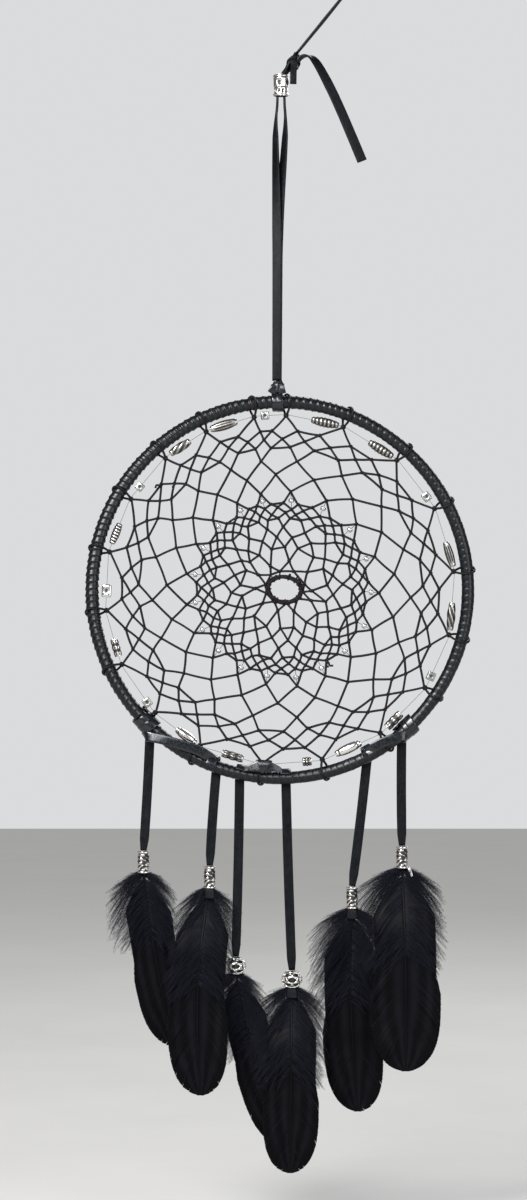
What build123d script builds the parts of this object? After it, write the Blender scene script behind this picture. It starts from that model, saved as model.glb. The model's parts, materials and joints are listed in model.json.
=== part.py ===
"""Hoop dream catcher: a lace-wrapped hoop with a knotted web, small metal beads at the rim, a doubled
hanging lace with a nail loop, and six lace pendants that each end in a bead and a feather.

Millimetres, +Z up, front face towards -Y. The origin is the centre of the nail loop at the top.
"""

import os
from math import atan2, ceil, cos, hypot, radians, sin, sqrt, tan
from random import Random

from build123d import *

# ---- Hoop ------------------------------------------------------------------------------------
HOOP_CENTRE = Vector(-43.7, 0, -312)  # seen from the nail loop's centre
HOOP_OUTER = 97.5  # radius over the lace wrap
TUBE = 3.5  # radius of the wrapped tube
CORE = 2.0  # radius of the steel ring inside
RING = HOOP_OUTER - TUBE  # radius of the tube's centre circle

# ---- Lace and cord ---------------------------------------------------------------------------
LACE = 4.8  # width of the flat leather lace
THICK = 1.2  # its thickness
CORD = 1.0  # waxed cord of the web
GAP = 0.5  # between pieces that move against each other

# ---- Web -------------------------------------------------------------------------------------
KNOT_RING = 87.0  # radius of the circle of knots that hang the web from the hoop
KNOT_ANGLES = [88, 68.8, 48, 27.8, 6.1, -14.9, -34, -55, -76, -95.7, -117.2, -135.5, -154.8, -173.3,
               -192.6, -211.4, -229, -245, -261.5]
WEB_SHIFT = (2.5, 1.5)  # the web's centre, pulled off the hoop's centre
DRAG = 13.0  # degrees by which the inner rounds are pulled round on the slack side
DRAG_FROM = -20.0  # the side that isn't pulled round
DRAG_INNER = 48.8  # radius by which the whole drag has built up
# Each round: its radius, and how it is hitched on the loops of the round before it.
ROUNDS = [
    (79.6, "two"), (75.2, "one"), (71.0, "one"), (64.6, "odd"), (57.0, "one"), (48.8, "one"),
    (42.7, "two"), (40.2, "one"), (37.6, "one"), (34.9, "one"), (30.2, "odd"), (25.6, "one"),
    (21.4, "one"), (14.6, "even"), (10.3, "one"),
]
HITCH_SHARE = 0.29  # where the two hitches sit on a loop that has two
SEED_ROUND = 6  # the round whose knots each carry a seed bead below them
EYE = (7.3, 5.4)  # half axes of the hole in the middle
EYE_BAND = 2.2  # width of the cord wound round it

# ---- Rim beads: kind, where it rests on its thread (degrees), length and width -----------------
RIM_BEADS = [
    ("cube", 94.9, 4.2, 4.2), ("spindle", 109.3, 14.0, 5.2), ("spindle", 125.0, 12.0, 4.8),
    ("cube", 143.6, 4.0, 4.0), ("spindle", 161.0, 11.0, 4.4), ("cube", 180.2, 6.4, 5.0),
    ("barrel", 200.6, 9.0, 4.2), ("cube", 220.2, 4.4, 4.4), ("spindle", 237.4, 12.0, 5.0),
    ("barrel", 253.3, 11.0, 4.4), ("barrel", 278.9, 4.6, 4.6), ("spindle", 293.3, 14.0, 5.4),
    ("barrel", 309.9, 10.0, 4.6), ("cube", 329.8, 4.4, 4.4), ("spindle", 351.1, 14.0, 4.4),
    ("spindle", 371.9, 13.0, 4.4), ("cube", 392.5, 4.4, 4.4), ("spindle", 414.4, 14.0, 5.2),
    ("spindle", 434.9, 14.0, 5.2),
]
# where a lace stops a bead short: the knot's angle and the lace's
LACE_EDGES = {0: (88.0, 92.7), 7: (224.5, 222.0), 8: (224.5, 227.0), 9: (242.8, 250.3), 11: (305.0, 298.2)}
RIM_THREAD = 0.3  # radius of the fine thread
THREAD_RING = 87.8  # radius at which the thread is tied at each knot
BEAD_BORE = 0.7

# ---- Hanger ----------------------------------------------------------------------------------
NAIL_LOOP = 4.0  # inner radius of the nail loop
LOOP_KNOT = (-5.6, -7.0)  # the knot below the nail loop
STRAND_FOOT = (8.6, 268.6)  # where the tight strand leaves the upper knot, from the hoop's centre
LEG_TOP, LEG_FOOT = 257.4, 104.6  # heights of the ends of the two legs above the hoop's centre
TAIL_ROUTE = [(11.0, 260.9), (11.7, 264.8), (13.6, 266.8), (16.4, 267.3), (19.0, 266.2),
              (22.7, 260.3), (30.6, 241.8), (41.1, 214.4)]
HITCH_X = -1.25  # the hanging hitch sits a little left of the hoop's top
HITCH_PLAY = 0.3  # it lets the hoop rock on it

# ---- Pendants, from the hoop's centre: lace top, lace end, bead, feather --------------------------
STRAP_Y = 4.5  # the laces hang behind the hoop
FRONT, BACK = -2.6, 11.7  # the two layers in which neighbouring feathers hang
# top (x, z), end (x, z), bead kind, feather length, width, lean of its tip, layer, lace end below bead
PENDANTS = [
    ((-65.2, -72.8), (-68.4, -130.6), "tube", 92, 28, 15, BACK, False),
    ((-31.8, -89.6), (-35.2, -138.2), "tube", 107, 32, -10, FRONT, True),
    ((-20.2, -93.4), (-22.2, -183.8), "ball", 92, 27, 22, BACK, False),
    ((3.0, -95.6), (6.0, -190.6), "ball", 96, 30, -1, FRONT, True),
    ((43.7, -84.6), (36.2, -148.4), "tube", 107, 32, 3, BACK, True),
    ((61.0, -75.6), (61.2, -128.2), "tube", 105, 37, 1.5, FRONT, False),
]
PINCH = 3.2  # the lace narrows to this where the bead takes it
QUILL = 1.2
QUILL_IN_BEAD = 4.0
BARE = 0.08  # share of a feather's length below its first barbs
OPENED, CLOSING = 0.28, 0.60  # shares of the vane where it reaches its width and starts to close

front = Plane(HOOP_CENTRE, x_dir=(1, 0, 0), z_dir=(0, -1, 0))  # local x, y are X, Z from the hoop's centre
os.makedirs("parts", exist_ok=True)


def save(piece, name):
    """Name a finished piece and write it."""
    piece.label = name
    export_step(piece, f"parts/{name}.step")


def place(x, z, y=0.0):
    """A point given from the hoop's centre."""
    return HOOP_CENTRE + Vector(x, y, z)


def on_circle(radius, degrees):
    return radius * cos(radians(degrees)), radius * sin(radians(degrees))


def layer(y):
    """The front view's plane moved to depth y; extruding from it goes forward."""
    return front.offset(-y)


def tube_frame(degrees):
    """The tube's centre at an angle, with its outward and its tangent directions."""
    x, z = on_circle(1, degrees)
    return place(RING * x, RING * z), Vector(x, 0, z), Vector(-z, 0, x)


def lace_round_tube(degrees, inner, width, start, arc):
    """A band of lace bent round the tube, from the angle start: -90 is the front, 0 the inner side,
    90 the back."""
    centre, outward, along = tube_frame(degrees)
    begin = -outward * cos(radians(start)) + Vector(0, 1, 0) * sin(radians(start))
    with BuildSketch(Plane(centre, x_dir=begin, z_dir=begin.cross(along))) as band:
        with Locations((inner + THICK / 2, 0)):
            Rectangle(THICK, width)
    revolve(band.sketch, axis=Axis(centre, -along), revolution_arc=arc)


def prism(points, y_front, y_back):
    """A flat shape in the front view, from one depth to another."""
    with BuildSketch(layer(y_back)) as outline:
        Polygon(*points, align=None)
    extrude(outline.sketch, amount=y_back - y_front)


def strip(a, b, width_a, width_b):
    """The four corners of a straight strip in the front view."""
    along = Vector(b[0] - a[0], b[1] - a[1]).normalized()
    side = Vector(-along.Y, along.X)
    return [(p[0] + s * side.X * w / 2, p[1] + s * side.Y * w / 2)
            for p, w, s in ((a, width_a, 1), (b, width_b, 1), (b, width_b, -1), (a, width_a, -1))]


# ---- Hoop ------------------------------------------------------------------------------------
section = Plane(HOOP_CENTRE, x_dir=(1, 0, 0), z_dir=(0, 0, 1))
hoop_axis = Axis(HOOP_CENTRE, (0, 1, 0))

with BuildPart() as hoop_core:
    with BuildSketch(section):
        with Locations((RING, 0)):
            Circle(CORE)
    revolve(axis=hoop_axis)
save(hoop_core.part, "hoop_core")

with BuildPart() as hoop_wrap:
    with BuildSketch(section):
        with Locations((RING, 0)):
            Circle(TUBE)
            Circle(CORE, mode=Mode.SUBTRACT)
    revolve(axis=hoop_axis)
save(hoop_wrap.part, "hoop_wrap")


# ---- Web -------------------------------------------------------------------------------------
def web_point(radius, degrees):
    """The web is round at the hoop and oval like its eye in the middle."""
    share = 1 - radius / KNOT_RING
    oval = 1 - 0.2 * min(max((25 - radius) / 15, 0), 1)
    x, z = on_circle(radius, degrees)
    return x + WEB_SHIFT[0] * share, z * oval + WEB_SHIFT[1] * share


def web_net():
    """The web as knots and the cords between them. Each round's loops run from knot to knot, and the
    next round's hitches pull each loop inwards, so a loop becomes the cords to its hitches."""
    uneven = Random(19)
    knots = [web_point(KNOT_RING, a) for a in KNOT_ANGLES]
    cords, rounds = [], [list(range(len(knots)))]
    angles, radius = [-a for a in KNOT_ANGLES], KNOT_RING  # counted clockwise, so that they rise
    for next_radius, hitching in ROUNDS:
        drag = DRAG * (min(radius, KNOT_RING) - max(next_radius, DRAG_INNER)) / (KNOT_RING - DRAG_INNER)
        jitter = 0.25 + 0.75 * (1 - next_radius / KNOT_RING)
        this, new, new_angles = rounds[-1], [], []
        for j, a in enumerate(angles):
            b = angles[j + 1] if j + 1 < len(angles) else angles[0] + 360
            shares = {"one": [0.5], "two": [HITCH_SHARE, 1 - HITCH_SHARE],
                      "odd": [0.5] * (j % 2), "even": [0.5] * (1 - j % 2)}[hitching]
            stops = [this[j]]
            for share in shares:
                angle = a + (b - a) * share
                pulled = max(drag, 0) * (1 - cos(radians(-angle - DRAG_FROM))) / 2
                angle += uneven.uniform(-1, 1) * jitter * 60 / next_radius - pulled
                away = next_radius + uneven.uniform(-1, 1) * jitter * 0.9
                stops.append(len(knots))
                new.append(len(knots))
                new_angles.append(angle)
                knots.append(web_point(away, -angle))
            stops.append(this[(j + 1) % len(this)])
            cords += list(zip(stops, stops[1:]))
        rounds.append(new)
        angles, radius = new_angles, next_radius
    last = rounds[-1]
    cords += list(zip(last, last[1:] + last[:1]))
    return knots, cords, rounds


def cells(knots, cords):
    """The closed outlines that the cords bound: the outer one clockwise, the cells the other way."""
    turn = {}
    for a, b in cords:
        turn.setdefault(a, []).append(b)
        turn.setdefault(b, []).append(a)
    for a, others in turn.items():
        others.sort(key=lambda b: atan2(knots[b][1] - knots[a][1], knots[b][0] - knots[a][0]))
    left = {(a, b) for a, others in turn.items() for b in others}
    found = []
    while left:
        a, b = min(left)
        outline = []
        while (a, b) in left:
            left.remove((a, b))
            outline.append(a)
            others = turn[b]
            a, b = b, others[others.index(a) - 1]
        found.append(outline)
    return found


def area(points):
    return sum(p[0] * q[1] - q[0] * p[1] for p, q in zip(points, points[1:] + points[:1])) / 2


def moved_in(points, distance):
    """An outline whose sides are all moved to their left by a distance."""
    moved = []
    for before, here, after in zip(points[-1:] + points[:-1], points, points[1:] + points[:1]):
        u = Vector(here[0] - before[0], here[1] - before[1]).normalized()
        v = Vector(after[0] - here[0], after[1] - here[1]).normalized()
        reach = distance / max(1 + u.X * v.X + u.Y * v.Y, 0.2)
        moved.append((here[0] - (u.Y + v.Y) * reach, here[1] + (u.X + v.X) * reach))
    return moved


def sound(hole, cell):
    """Whether every side of a hole still runs the way of its cell's side."""
    ahead = zip(hole, hole[1:] + hole[:1], cell, cell[1:] + cell[:1])
    return all((b[0] - a[0]) * (d[0] - c[0]) + (b[1] - a[1]) * (d[1] - c[1]) > 0 for a, b, c, d in ahead)


knots, cords, rounds = web_net()
outer, holes = None, []
for outline in cells(knots, cords):
    points = [knots[i] for i in outline]
    hole = moved_in(points, CORD / 2)
    if area(points) < 0:
        outer = hole
    elif sound(hole, points):
        holes.append(hole)
print("web:", len(knots), "knots,", len(cords), "cords,", len(holes), "open cells")


def wire_of(points):
    return Wire.make_polygon([layer(CORD / 2).from_local_coords((*p, 0)) for p in points], close=True)


net_face = Face(wire_of(outer), [wire_of(hole) for hole in holes])
with BuildPart() as web_cord:
    extrude(to_extrude=net_face, amount=CORD, dir=(0, -1, 0))
save(web_cord.part, "web_cord")

eye_centre = (WEB_SHIFT[0] - 0.2, WEB_SHIFT[1] - 1.2)
with BuildPart() as centre_winding:
    with BuildSketch(layer(EYE_BAND / 2)):
        with Locations(Location((*eye_centre, 0), (0, 0, -8))):
            Ellipse(EYE[0] + EYE_BAND, EYE[1] + EYE_BAND)
            Ellipse(*EYE, mode=Mode.SUBTRACT)
    extrude(amount=EYE_BAND)
    with Locations(place(8.6, 4.6)):
        Sphere(2.1)
save(centre_winding.part, "centre_winding")

with BuildPart() as web_hitches:
    for knot_angle in KNOT_ANGLES:
        centre, outward, along = tube_frame(knot_angle)
        with BuildSketch(Plane(centre, x_dir=outward, z_dir=(0, -1, 0))):
            with Locations((TUBE + CORD / 2 + 0.02, 0)):
                Circle(CORD / 2)
        revolve(axis=Axis(centre, along))
        with BuildSketch(Plane(HOOP_CENTRE + outward * 87.78, x_dir=along, z_dir=outward)):
            Circle(CORD / 2)
        extrude(amount=2.0)
        with BuildSketch(Plane(HOOP_CENTRE + outward * 88.1, x_dir=along, z_dir=outward)):
            Circle(CORD)
        extrude(amount=1.1)
save(web_hitches.part, "web_hitches")

# ---- Seed beads, each on a fine thread below a knot of the sixth round -----------------------------
seed_spots = [(knots[a], knots[b]) for a, b in
              zip(rounds[SEED_ROUND], rounds[SEED_ROUND + 2][-1:] + rounds[SEED_ROUND + 2][1:-1:2])]
with BuildPart() as seed_beads:
    for above, below in seed_spots:
        way = Vector(below[0] - above[0], 0, below[1] - above[1])
        middle = place(*above) + way * 0.55
        with BuildSketch(Plane(middle, x_dir=(0, 1, 0), z_dir=way.cross(Vector(0, 1, 0)))):
            with Locations((0.86, 0)):
                RectangleRounded(0.92, 2.1, 0.42)
        revolve(axis=Axis(middle, way))
save(seed_beads.part, "seed_beads")


def thread(start, end):
    with BuildSketch(Plane(start, z_dir=end - start)) as section_of_thread:
        Circle(RIM_THREAD)
    extrude(section_of_thread.sketch, amount=(end - start).length)


with BuildPart() as bead_threads:
    for a, b in zip(KNOT_ANGLES, KNOT_ANGLES[1:] + [KNOT_ANGLES[0] - 360]):
        thread(place(*on_circle(THREAD_RING, a)), place(*on_circle(THREAD_RING, b)))
    for above, below in seed_spots:
        thread(place(*above), place(*below))
save(bead_threads.part, "bead_threads")


# ---- Rim beads -------------------------------------------------------------------------------
def rim_spot(number):
    """Where a rim bead rests: its centre, the way up its thread, and its free travel down and up."""
    kind, rest, length, width = RIM_BEADS[number]
    ends = [KNOT_ANGLES[-number % 19], KNOT_ANGLES[-number - 1]]
    low, high = sorted((on_circle(THREAD_RING, a) for a in ends), key=lambda p: p[1])
    up = Vector(high[0] - low[0], 0, high[1] - low[1]).normalized()

    def along(degrees):
        x, z = on_circle(THREAD_RING, degrees)
        return (x - low[0]) * up.X + (z - low[1]) * up.Z

    clear = 2.4 if kind == "spindle" else 2.5 if number == 0 else 4.4
    stops = [(along(a), clear) for a in ends]
    if number in LACE_EDGES:
        knot, edge = LACE_EDGES[number]
        stops = [(along(edge), 0.3) if abs(s - along(knot)) < 0.5 else (s, c) for s, c in stops]
    (bottom, bottom_clear), (top, top_clear) = sorted(stops)
    first, last = bottom + bottom_clear + length / 2, top - top_clear - length / 2
    at = min(max(along(rest), first), last)
    return place(*low) + up * at, up, first - at, last - at


def make_rim_bead(number):
    kind, _, length, width = RIM_BEADS[number]
    centre, up, _, _ = rim_spot(number)
    half, radius = length / 2, width / 2
    if kind == "cube":
        with BuildPart(Plane(centre, x_dir=(0, 1, 0), z_dir=up)) as bead:
            Box(width * 0.9, width, length)
            chamfer(bead.edges(), 0.4)
            Hole(BEAD_BORE)
    else:
        tip = 1.15 if kind == "spindle" else radius * 0.8
        with BuildPart() as bead:
            with BuildSketch(Plane(centre, x_dir=(0, 1, 0), z_dir=up.cross(Vector(0, 1, 0)))):
                with BuildLine():
                    Polyline((tip, -half), (BEAD_BORE, -half), (BEAD_BORE, half), (tip, half))
                    ThreePointArc((tip, half), (radius, 0), (tip, -half))
                make_face()
            revolve(axis=Axis(centre, up))
    return bead.part


for number in range(len(RIM_BEADS)):
    save(make_rim_bead(number), f"rim_bead_{number + 1:02d}")
    spot, up, down_travel, up_travel = rim_spot(number)
    print(f"rim bead {number + 1}: {spot.X:.2f} {spot.Z:.2f} way {up.X:.4f} {up.Z:.4f}",
          f"travel {down_travel:.2f} {up_travel:.2f}")

# ---- Hanger ----------------------------------------------------------------------------------
nail_plane = Plane((0, LACE / 2, 0), x_dir=(1, 0, 0), z_dir=(0, -1, 0))
with BuildPart() as nail_loop:
    with BuildSketch(nail_plane):
        Circle(NAIL_LOOP + THICK)
        Circle(NAIL_LOOP, mode=Mode.SUBTRACT)
    extrude(amount=LACE)
save(nail_loop.part, "nail_loop")

knot_at = Vector(LOOP_KNOT[0], 0, LOOP_KNOT[1])
strand_foot = place(*STRAND_FOOT)
strand_way = (knot_at - strand_foot).normalized()
knot_half = (knot_at.length - NAIL_LOOP - THICK) - 0.02
with BuildPart() as loop_knot:
    with BuildSketch(Plane(knot_at, x_dir=(0, 1, 0), z_dir=Vector(0, 1, 0).cross(strand_way))):
        with BuildLine():
            Polyline((0, knot_half), (0, -3.0), (1.6, -3.0))
            ThreePointArc((1.6, -3.0), (3.1, 0), (1.4, knot_half))
            Line((1.4, knot_half), (0, knot_half))
        make_face()
    revolve(axis=Axis(knot_at, strand_way))
save(loop_knot.part, "loop_knot")

strand_end = knot_at - strand_way * 3.0
with BuildPart() as hanging_strand:
    with BuildSketch(Plane(strand_foot, x_dir=(0, 1, 0), z_dir=strand_way)):
        Rectangle(LACE, THICK)
    extrude(amount=(strand_end - strand_foot).length)
save(hanging_strand.part, "hanging_strand")

with BuildPart() as top_knot:
    prism([(0.6, 258.0), (3.6, 258.0), (7.6, 261.6), (9.9, 266.0), (8.4, 268.4), (6.2, 268.4),
           (2.2, 264.6)], -2.6, 2.6)
    chamfer(top_knot.edges().filter_by(Axis.Y, reverse=True), 0.9)
    prism(strip((6.4, 262.6), (6.9, 252.8), 2.6, 2.8), -1.9, -1.9 + THICK)
save(top_knot.part, "top_knot")


def leg(side):
    """One leg of the doubled lace: flat behind the other at the foot, turned edge-on and apart above."""
    stations = [(-1.5, 0.8, LEG_FOOT, LACE, 0), (-1.2, 0.8, 180, LACE, -12), (0.1, 0.5, 226, 4.2, -55),
                (0.4, 0.0, 237, 3.4, -84), (0.5, 0.0, 243, PINCH, -90), (0.5, 0.0, LEG_TOP, PINCH, -90)]
    spread = [0, 0.2, 2.5, 2.4, 1.65, 1.6]
    with BuildPart() as one:
        for (x, y, z, width, turn), apart in zip(stations, spread):
            with BuildSketch(Plane(place(x + side * apart, z, side * y)).rotated((0, 0, turn))):
                Rectangle(width, THICK)
        loft(ruled=True)
    return one.part


save(leg(-1), "leg_front")
save(leg(1), "leg_back")

with BuildPart() as hanger_bead:
    with BuildSketch(Plane(place(0.5, 252.2), x_dir=(1, 0, 0), z_dir=(0, -1, 0))):
        with BuildLine():
            Polyline((3.55, -5.3), (3.05, -5.3), (3.05, 5.3), (3.55, 5.3))
            ThreePointArc((3.55, 5.3), (3.95, 0), (3.55, -5.3))
        make_face()
    revolve(axis=Axis(place(0.5, 252.2), (0, 0, 1)))
save(hanger_bead.part, "hanger_bead")

tail_points = [layer(0).from_local_coords((*p, 0)) for p in TAIL_ROUTE]


def corner_radii(points):
    """For each corner of a route, 0.45 of its shorter run divided by the tangent of half its turn."""
    radii = []
    for a, b, c in zip(points, points[1:], points[2:]):
        turn = radians((b - a).get_angle(c - b))
        radii.append(0.45 * min((b - a).length, (c - b).length) / tan(turn / 2))
    return radii


tail_radii = corner_radii(tail_points)
print("tail radii:", [round(r, 1) for r in tail_radii])
with BuildPart() as hanger_tail:
    with BuildLine() as tail_path:
        FilletPolyline(*tail_points, radius=tail_radii)
    start_way = tail_points[1] - tail_points[0]
    with BuildSketch(Plane(tail_points[0], x_dir=(0, 1, 0), z_dir=start_way)):
        Rectangle(THICK, LACE - 0.4)
    sweep()
print("tail length:", round(tail_path.wire().length, 1), "volume share:",
      round(hanger_tail.part.volume / (tail_path.wire().length * THICK * (LACE - 0.4)), 3))
save(hanger_tail.part, "hanger_tail")

with BuildPart() as hoop_hitch:
    top = place(HITCH_X, RING)
    with BuildSketch(Plane(top, x_dir=(0, 0, 1), z_dir=(0, 1, 0))):
        with Locations((TUBE + HITCH_PLAY + THICK / 2, 0)):
            Rectangle(THICK, LACE + 0.6)
    revolve(axis=Axis(top, (1, 0, 0)))
    collar_foot = RING + TUBE + HITCH_PLAY + 0.4
    prism([(-6.3, collar_foot), (2.2, collar_foot), (1.2, LEG_FOOT - GAP), (-4.2, LEG_FOOT - GAP)], -2.6, 2.6)
save(hoop_hitch.part, "hoop_hitch")

# ---- Lace hitches that carry the pendants ---------------------------------------------------------
OVER_CORD = TUBE + CORD + 0.1  # clears the web cord's own hitches
with BuildPart() as lace_left:
    lace_round_tube(-135.6, OVER_CORD, 8.0, 16, 328)  # open where the web's knot comes out
    prism(strip((-67.0, -70.5), (-33.8, -81.4), LACE, LACE), -OVER_CORD - THICK, -OVER_CORD)
    lace_round_tube(-111.3, OVER_CORD, LACE, -90, 180)
save(lace_left.part, "lace_left")

with BuildPart() as lace_right:
    lace_round_tube(-47.5, TUBE + 0.05, 8.0, 0, 360)
    prism(strip((64.0, -71.0), (43.4, -78.6), LACE, LACE), -OVER_CORD - THICK, -OVER_CORD)
    lace_round_tube(-61.4, OVER_CORD, LACE, -90, 180)
save(lace_right.part, "lace_right")

with BuildPart() as lace_middle:
    for foot in (-102.2, -88.2):
        lace_round_tube(foot, TUBE + 0.05, LACE, -58, 148)
    prism([(-21.5, -87.6), (-17.0, -84.6), (-2.0, -84.8), (5.2, -89.2), (5.2, -90.6), (0.4, -91.0),
           (-17.0, -88.8), (-20.5, -88.9)], -4.3, -3.1)
save(lace_middle.part, "lace_middle")


# ---- Pendants --------------------------------------------------------------------------------
def make_strap(top, end):
    """A lace that hangs straight, and narrows over its last stretch to enter the bead."""
    share = 1 - 5.0 / hypot(end[0] - top[0], end[1] - top[1])
    neck = (top[0] + (end[0] - top[0]) * share, top[1] + (end[1] - top[1]) * share)
    with BuildPart() as strap:
        prism(strip(top, neck, LACE, LACE), STRAP_Y - THICK / 2, STRAP_Y + THICK / 2)
        prism(strip(neck, end, LACE, PINCH), STRAP_Y - THICK / 2, STRAP_Y + THICK / 2)
    return strap.part


TUBE_BEAD = (3.1, 10.6)  # radius and height
BALL_BEAD = (5.4, 8.0)
PENDANT_BORE = 1.9


def bead_size(kind):
    return TUBE_BEAD if kind == "tube" else BALL_BEAD


def make_pendant_bead(end, kind):
    radius, height = bead_size(kind)
    lip = radius - 0.25 if kind == "tube" else 2.7
    middle = place(end[0], end[1] - GAP - height / 2, STRAP_Y)
    with BuildPart() as bead:
        with BuildSketch(Plane(middle, x_dir=(1, 0, 0), z_dir=(0, -1, 0))):
            with BuildLine():
                Polyline((lip, -height / 2), (PENDANT_BORE, -height / 2), (PENDANT_BORE, height / 2),
                         (lip, height / 2))
                ThreePointArc((lip, height / 2), (radius, 0), (lip, -height / 2))
            make_face()
        revolve(axis=Axis(middle, (0, 0, 1)))
    return bead.part


def feather_half_width(t, width):
    """Half width at a share of the vane: it opens from the quill, keeps its width and ends blunt."""
    opening = min(1, t / OPENED) ** 0.6
    closing = sqrt(1 - max(0, (t - CLOSING) / (1 - CLOSING)) ** 3.5)
    return QUILL + (width / 2 - QUILL) * opening * closing


def make_feather(end, kind, length, width, lean, depth):
    """The feather's outline in the front view, cut from a slab that bends into its layer."""
    _, height = bead_size(kind)
    top = end[1] - GAP - height + QUILL_IN_BEAD
    steps = 18
    left, right = [(end[0] - QUILL, top)], [(end[0] + QUILL, top)]
    for i in range(steps):
        t = sin(radians(90 * i / (steps - 1)))
        share = BARE + (1 - BARE) * t
        x = end[0] + lean * share ** 1.4
        z = top - length * share
        half = feather_half_width(t, width)
        left.append((x - half, z))
        right.append((x + half, z))
    with BuildPart() as feather:
        with BuildSketch(layer(30)):
            with BuildLine():
                Polyline(*left, *reversed(right), close=True)
            make_face()
        extrude(amount=60)
        side = Plane(place(-120, top), x_dir=(0, 1, 0), z_dir=(1, 0, 0))
        line = [(STRAP_Y, 0), (STRAP_Y, -10), (depth, -36), (depth, -length)]
        with BuildSketch(side):
            with BuildLine():
                Polyline(*[(y - 1, z) for y, z in line], *[(y + 1, z) for y, z in reversed(line)], close=True)
            make_face()
        extrude(amount=260, mode=Mode.INTERSECT)
    return feather.part


def make_strap_end(end, kind):
    """The cut end of the lace, below the bead and in front of the quill."""
    _, height = bead_size(kind)
    foot = end[1] - GAP - height
    with BuildPart() as tab:
        prism([(end[0] - 1.9, foot - 0.1), (end[0] + 1.9, foot - 0.1), (end[0] + 3.0, foot - 5.4),
               (end[0] - 3.2, foot - 5.0)], STRAP_Y - 1.05 - THICK, STRAP_Y - 1.05)
    return tab.part


for number, (top, end, kind, length, width, lean, depth, has_tab) in enumerate(PENDANTS, 1):
    save(make_strap(top, end), f"strap_{number}")
    save(make_pendant_bead(end, kind), f"pendant_bead_{number}")
    save(make_feather(end, kind, length, width, lean, depth), f"feather_{number}")
    if has_tab:
        save(make_strap_end(end, kind), f"strap_end_{number}")
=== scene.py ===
"""The look of the hoop dream catcher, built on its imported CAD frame.

Sizes are in millimetres and places are given from the hoop's centre, as x to the right, z up and y away
from the viewer. Everything is turned into metres of the shared frame as its mesh is made.
"""

import json
from math import cos, hypot, pi, radians, sin
from random import Random

import bmesh
import bpy
import numpy as np
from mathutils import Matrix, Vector


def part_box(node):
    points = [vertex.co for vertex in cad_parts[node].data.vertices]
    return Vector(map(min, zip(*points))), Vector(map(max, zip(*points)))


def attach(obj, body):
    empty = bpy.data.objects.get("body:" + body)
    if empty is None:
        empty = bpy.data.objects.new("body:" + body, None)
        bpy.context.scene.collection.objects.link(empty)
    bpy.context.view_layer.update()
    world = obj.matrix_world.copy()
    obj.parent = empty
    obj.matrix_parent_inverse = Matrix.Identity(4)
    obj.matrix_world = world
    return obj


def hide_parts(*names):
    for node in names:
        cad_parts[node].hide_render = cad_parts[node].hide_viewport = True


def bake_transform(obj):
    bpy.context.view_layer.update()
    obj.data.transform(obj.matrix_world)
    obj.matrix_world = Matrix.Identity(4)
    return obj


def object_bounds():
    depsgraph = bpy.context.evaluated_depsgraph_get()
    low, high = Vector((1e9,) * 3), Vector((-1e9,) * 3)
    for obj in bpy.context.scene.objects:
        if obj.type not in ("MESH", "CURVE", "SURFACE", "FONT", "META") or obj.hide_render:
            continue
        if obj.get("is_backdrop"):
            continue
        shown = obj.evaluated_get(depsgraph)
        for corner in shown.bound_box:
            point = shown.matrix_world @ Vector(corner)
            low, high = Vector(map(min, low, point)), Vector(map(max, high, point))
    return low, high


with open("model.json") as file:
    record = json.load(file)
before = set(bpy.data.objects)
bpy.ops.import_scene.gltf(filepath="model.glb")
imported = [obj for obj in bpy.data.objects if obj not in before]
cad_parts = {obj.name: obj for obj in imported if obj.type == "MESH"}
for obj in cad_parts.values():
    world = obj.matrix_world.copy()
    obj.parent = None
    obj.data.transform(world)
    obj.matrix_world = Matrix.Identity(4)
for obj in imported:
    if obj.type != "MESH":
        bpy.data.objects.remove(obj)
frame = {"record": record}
cad_box = [list(corner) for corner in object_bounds()]

MM = 0.001
low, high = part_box("hoop_wrap")
HOOP = np.array((low + high) / 2)  # the hoop's centre
JOINTS = {joint["name"]: joint for joint in frame["record"]["behaviour"]["joints"]}

# ---- Driving sizes, as in the CAD ----
TUBE, RING = 3.5, 94.0  # the hoop's tube and its ring, as radii
LACE, THICK = 4.8, 1.2  # a flat lace's width and thickness
CORD = 0.60  # radius of the web's cord
STRAP_Y = 4.5  # how far behind the web the pendant laces hang
GAP = 0.5  # from a pendant lace's end to its bead
THREAD_BORE, LACE_BORE, HANGER_BORE = 0.75, 1.9, 3.05  # radii of the beads' holes
BACK, UP = np.array((0, 1.0, 0)), (0, 0, 1)  # BACK is away from the viewer


def at(x, z, y=0.0):
    """Metres in the frame, from millimetres off the hoop's centre."""
    return HOOP + np.array((x, y, z)) * MM


def box_mm(node):
    """A CAD node's lowest and highest corner, in millimetres from the hoop's centre."""
    return [(np.array(corner) - HOOP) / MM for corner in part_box(node)]


# ---- Camera, light and floor ----
VIEW_CENTRE, VIEW_HEIGHT, DISTANCE, SENSOR = (-8.25, -5.0), 600.0, 1700.0, 24
AIM = (0, -60)  # where the lights point
FLOOR_SIZE, FLOOR_DROP = 6, 0.03  # metres
lens = bpy.data.cameras.new("camera")
lens.sensor_fit, lens.sensor_height = "VERTICAL", SENSOR
lens.lens = SENSOR * DISTANCE / VIEW_HEIGHT
camera = bpy.data.objects.new("camera", lens)
camera.location = at(*VIEW_CENTRE, -DISTANCE)
camera.rotation_euler = (pi / 2, 0, 0)
bpy.context.scene.collection.objects.link(camera)
bpy.context.scene.camera = camera


def soft_light(name, place, size, watts, colour):
    light = bpy.data.lights.new(name, "AREA")
    light.size, light.energy, light.color = size, watts, colour
    lamp = bpy.data.objects.new(name, light)
    lamp.location = at(*place)
    lamp.rotation_euler = (Vector(at(*AIM)) - lamp.location).to_track_quat("-Z", "Y").to_euler()
    bpy.context.scene.collection.objects.link(lamp)


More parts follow.
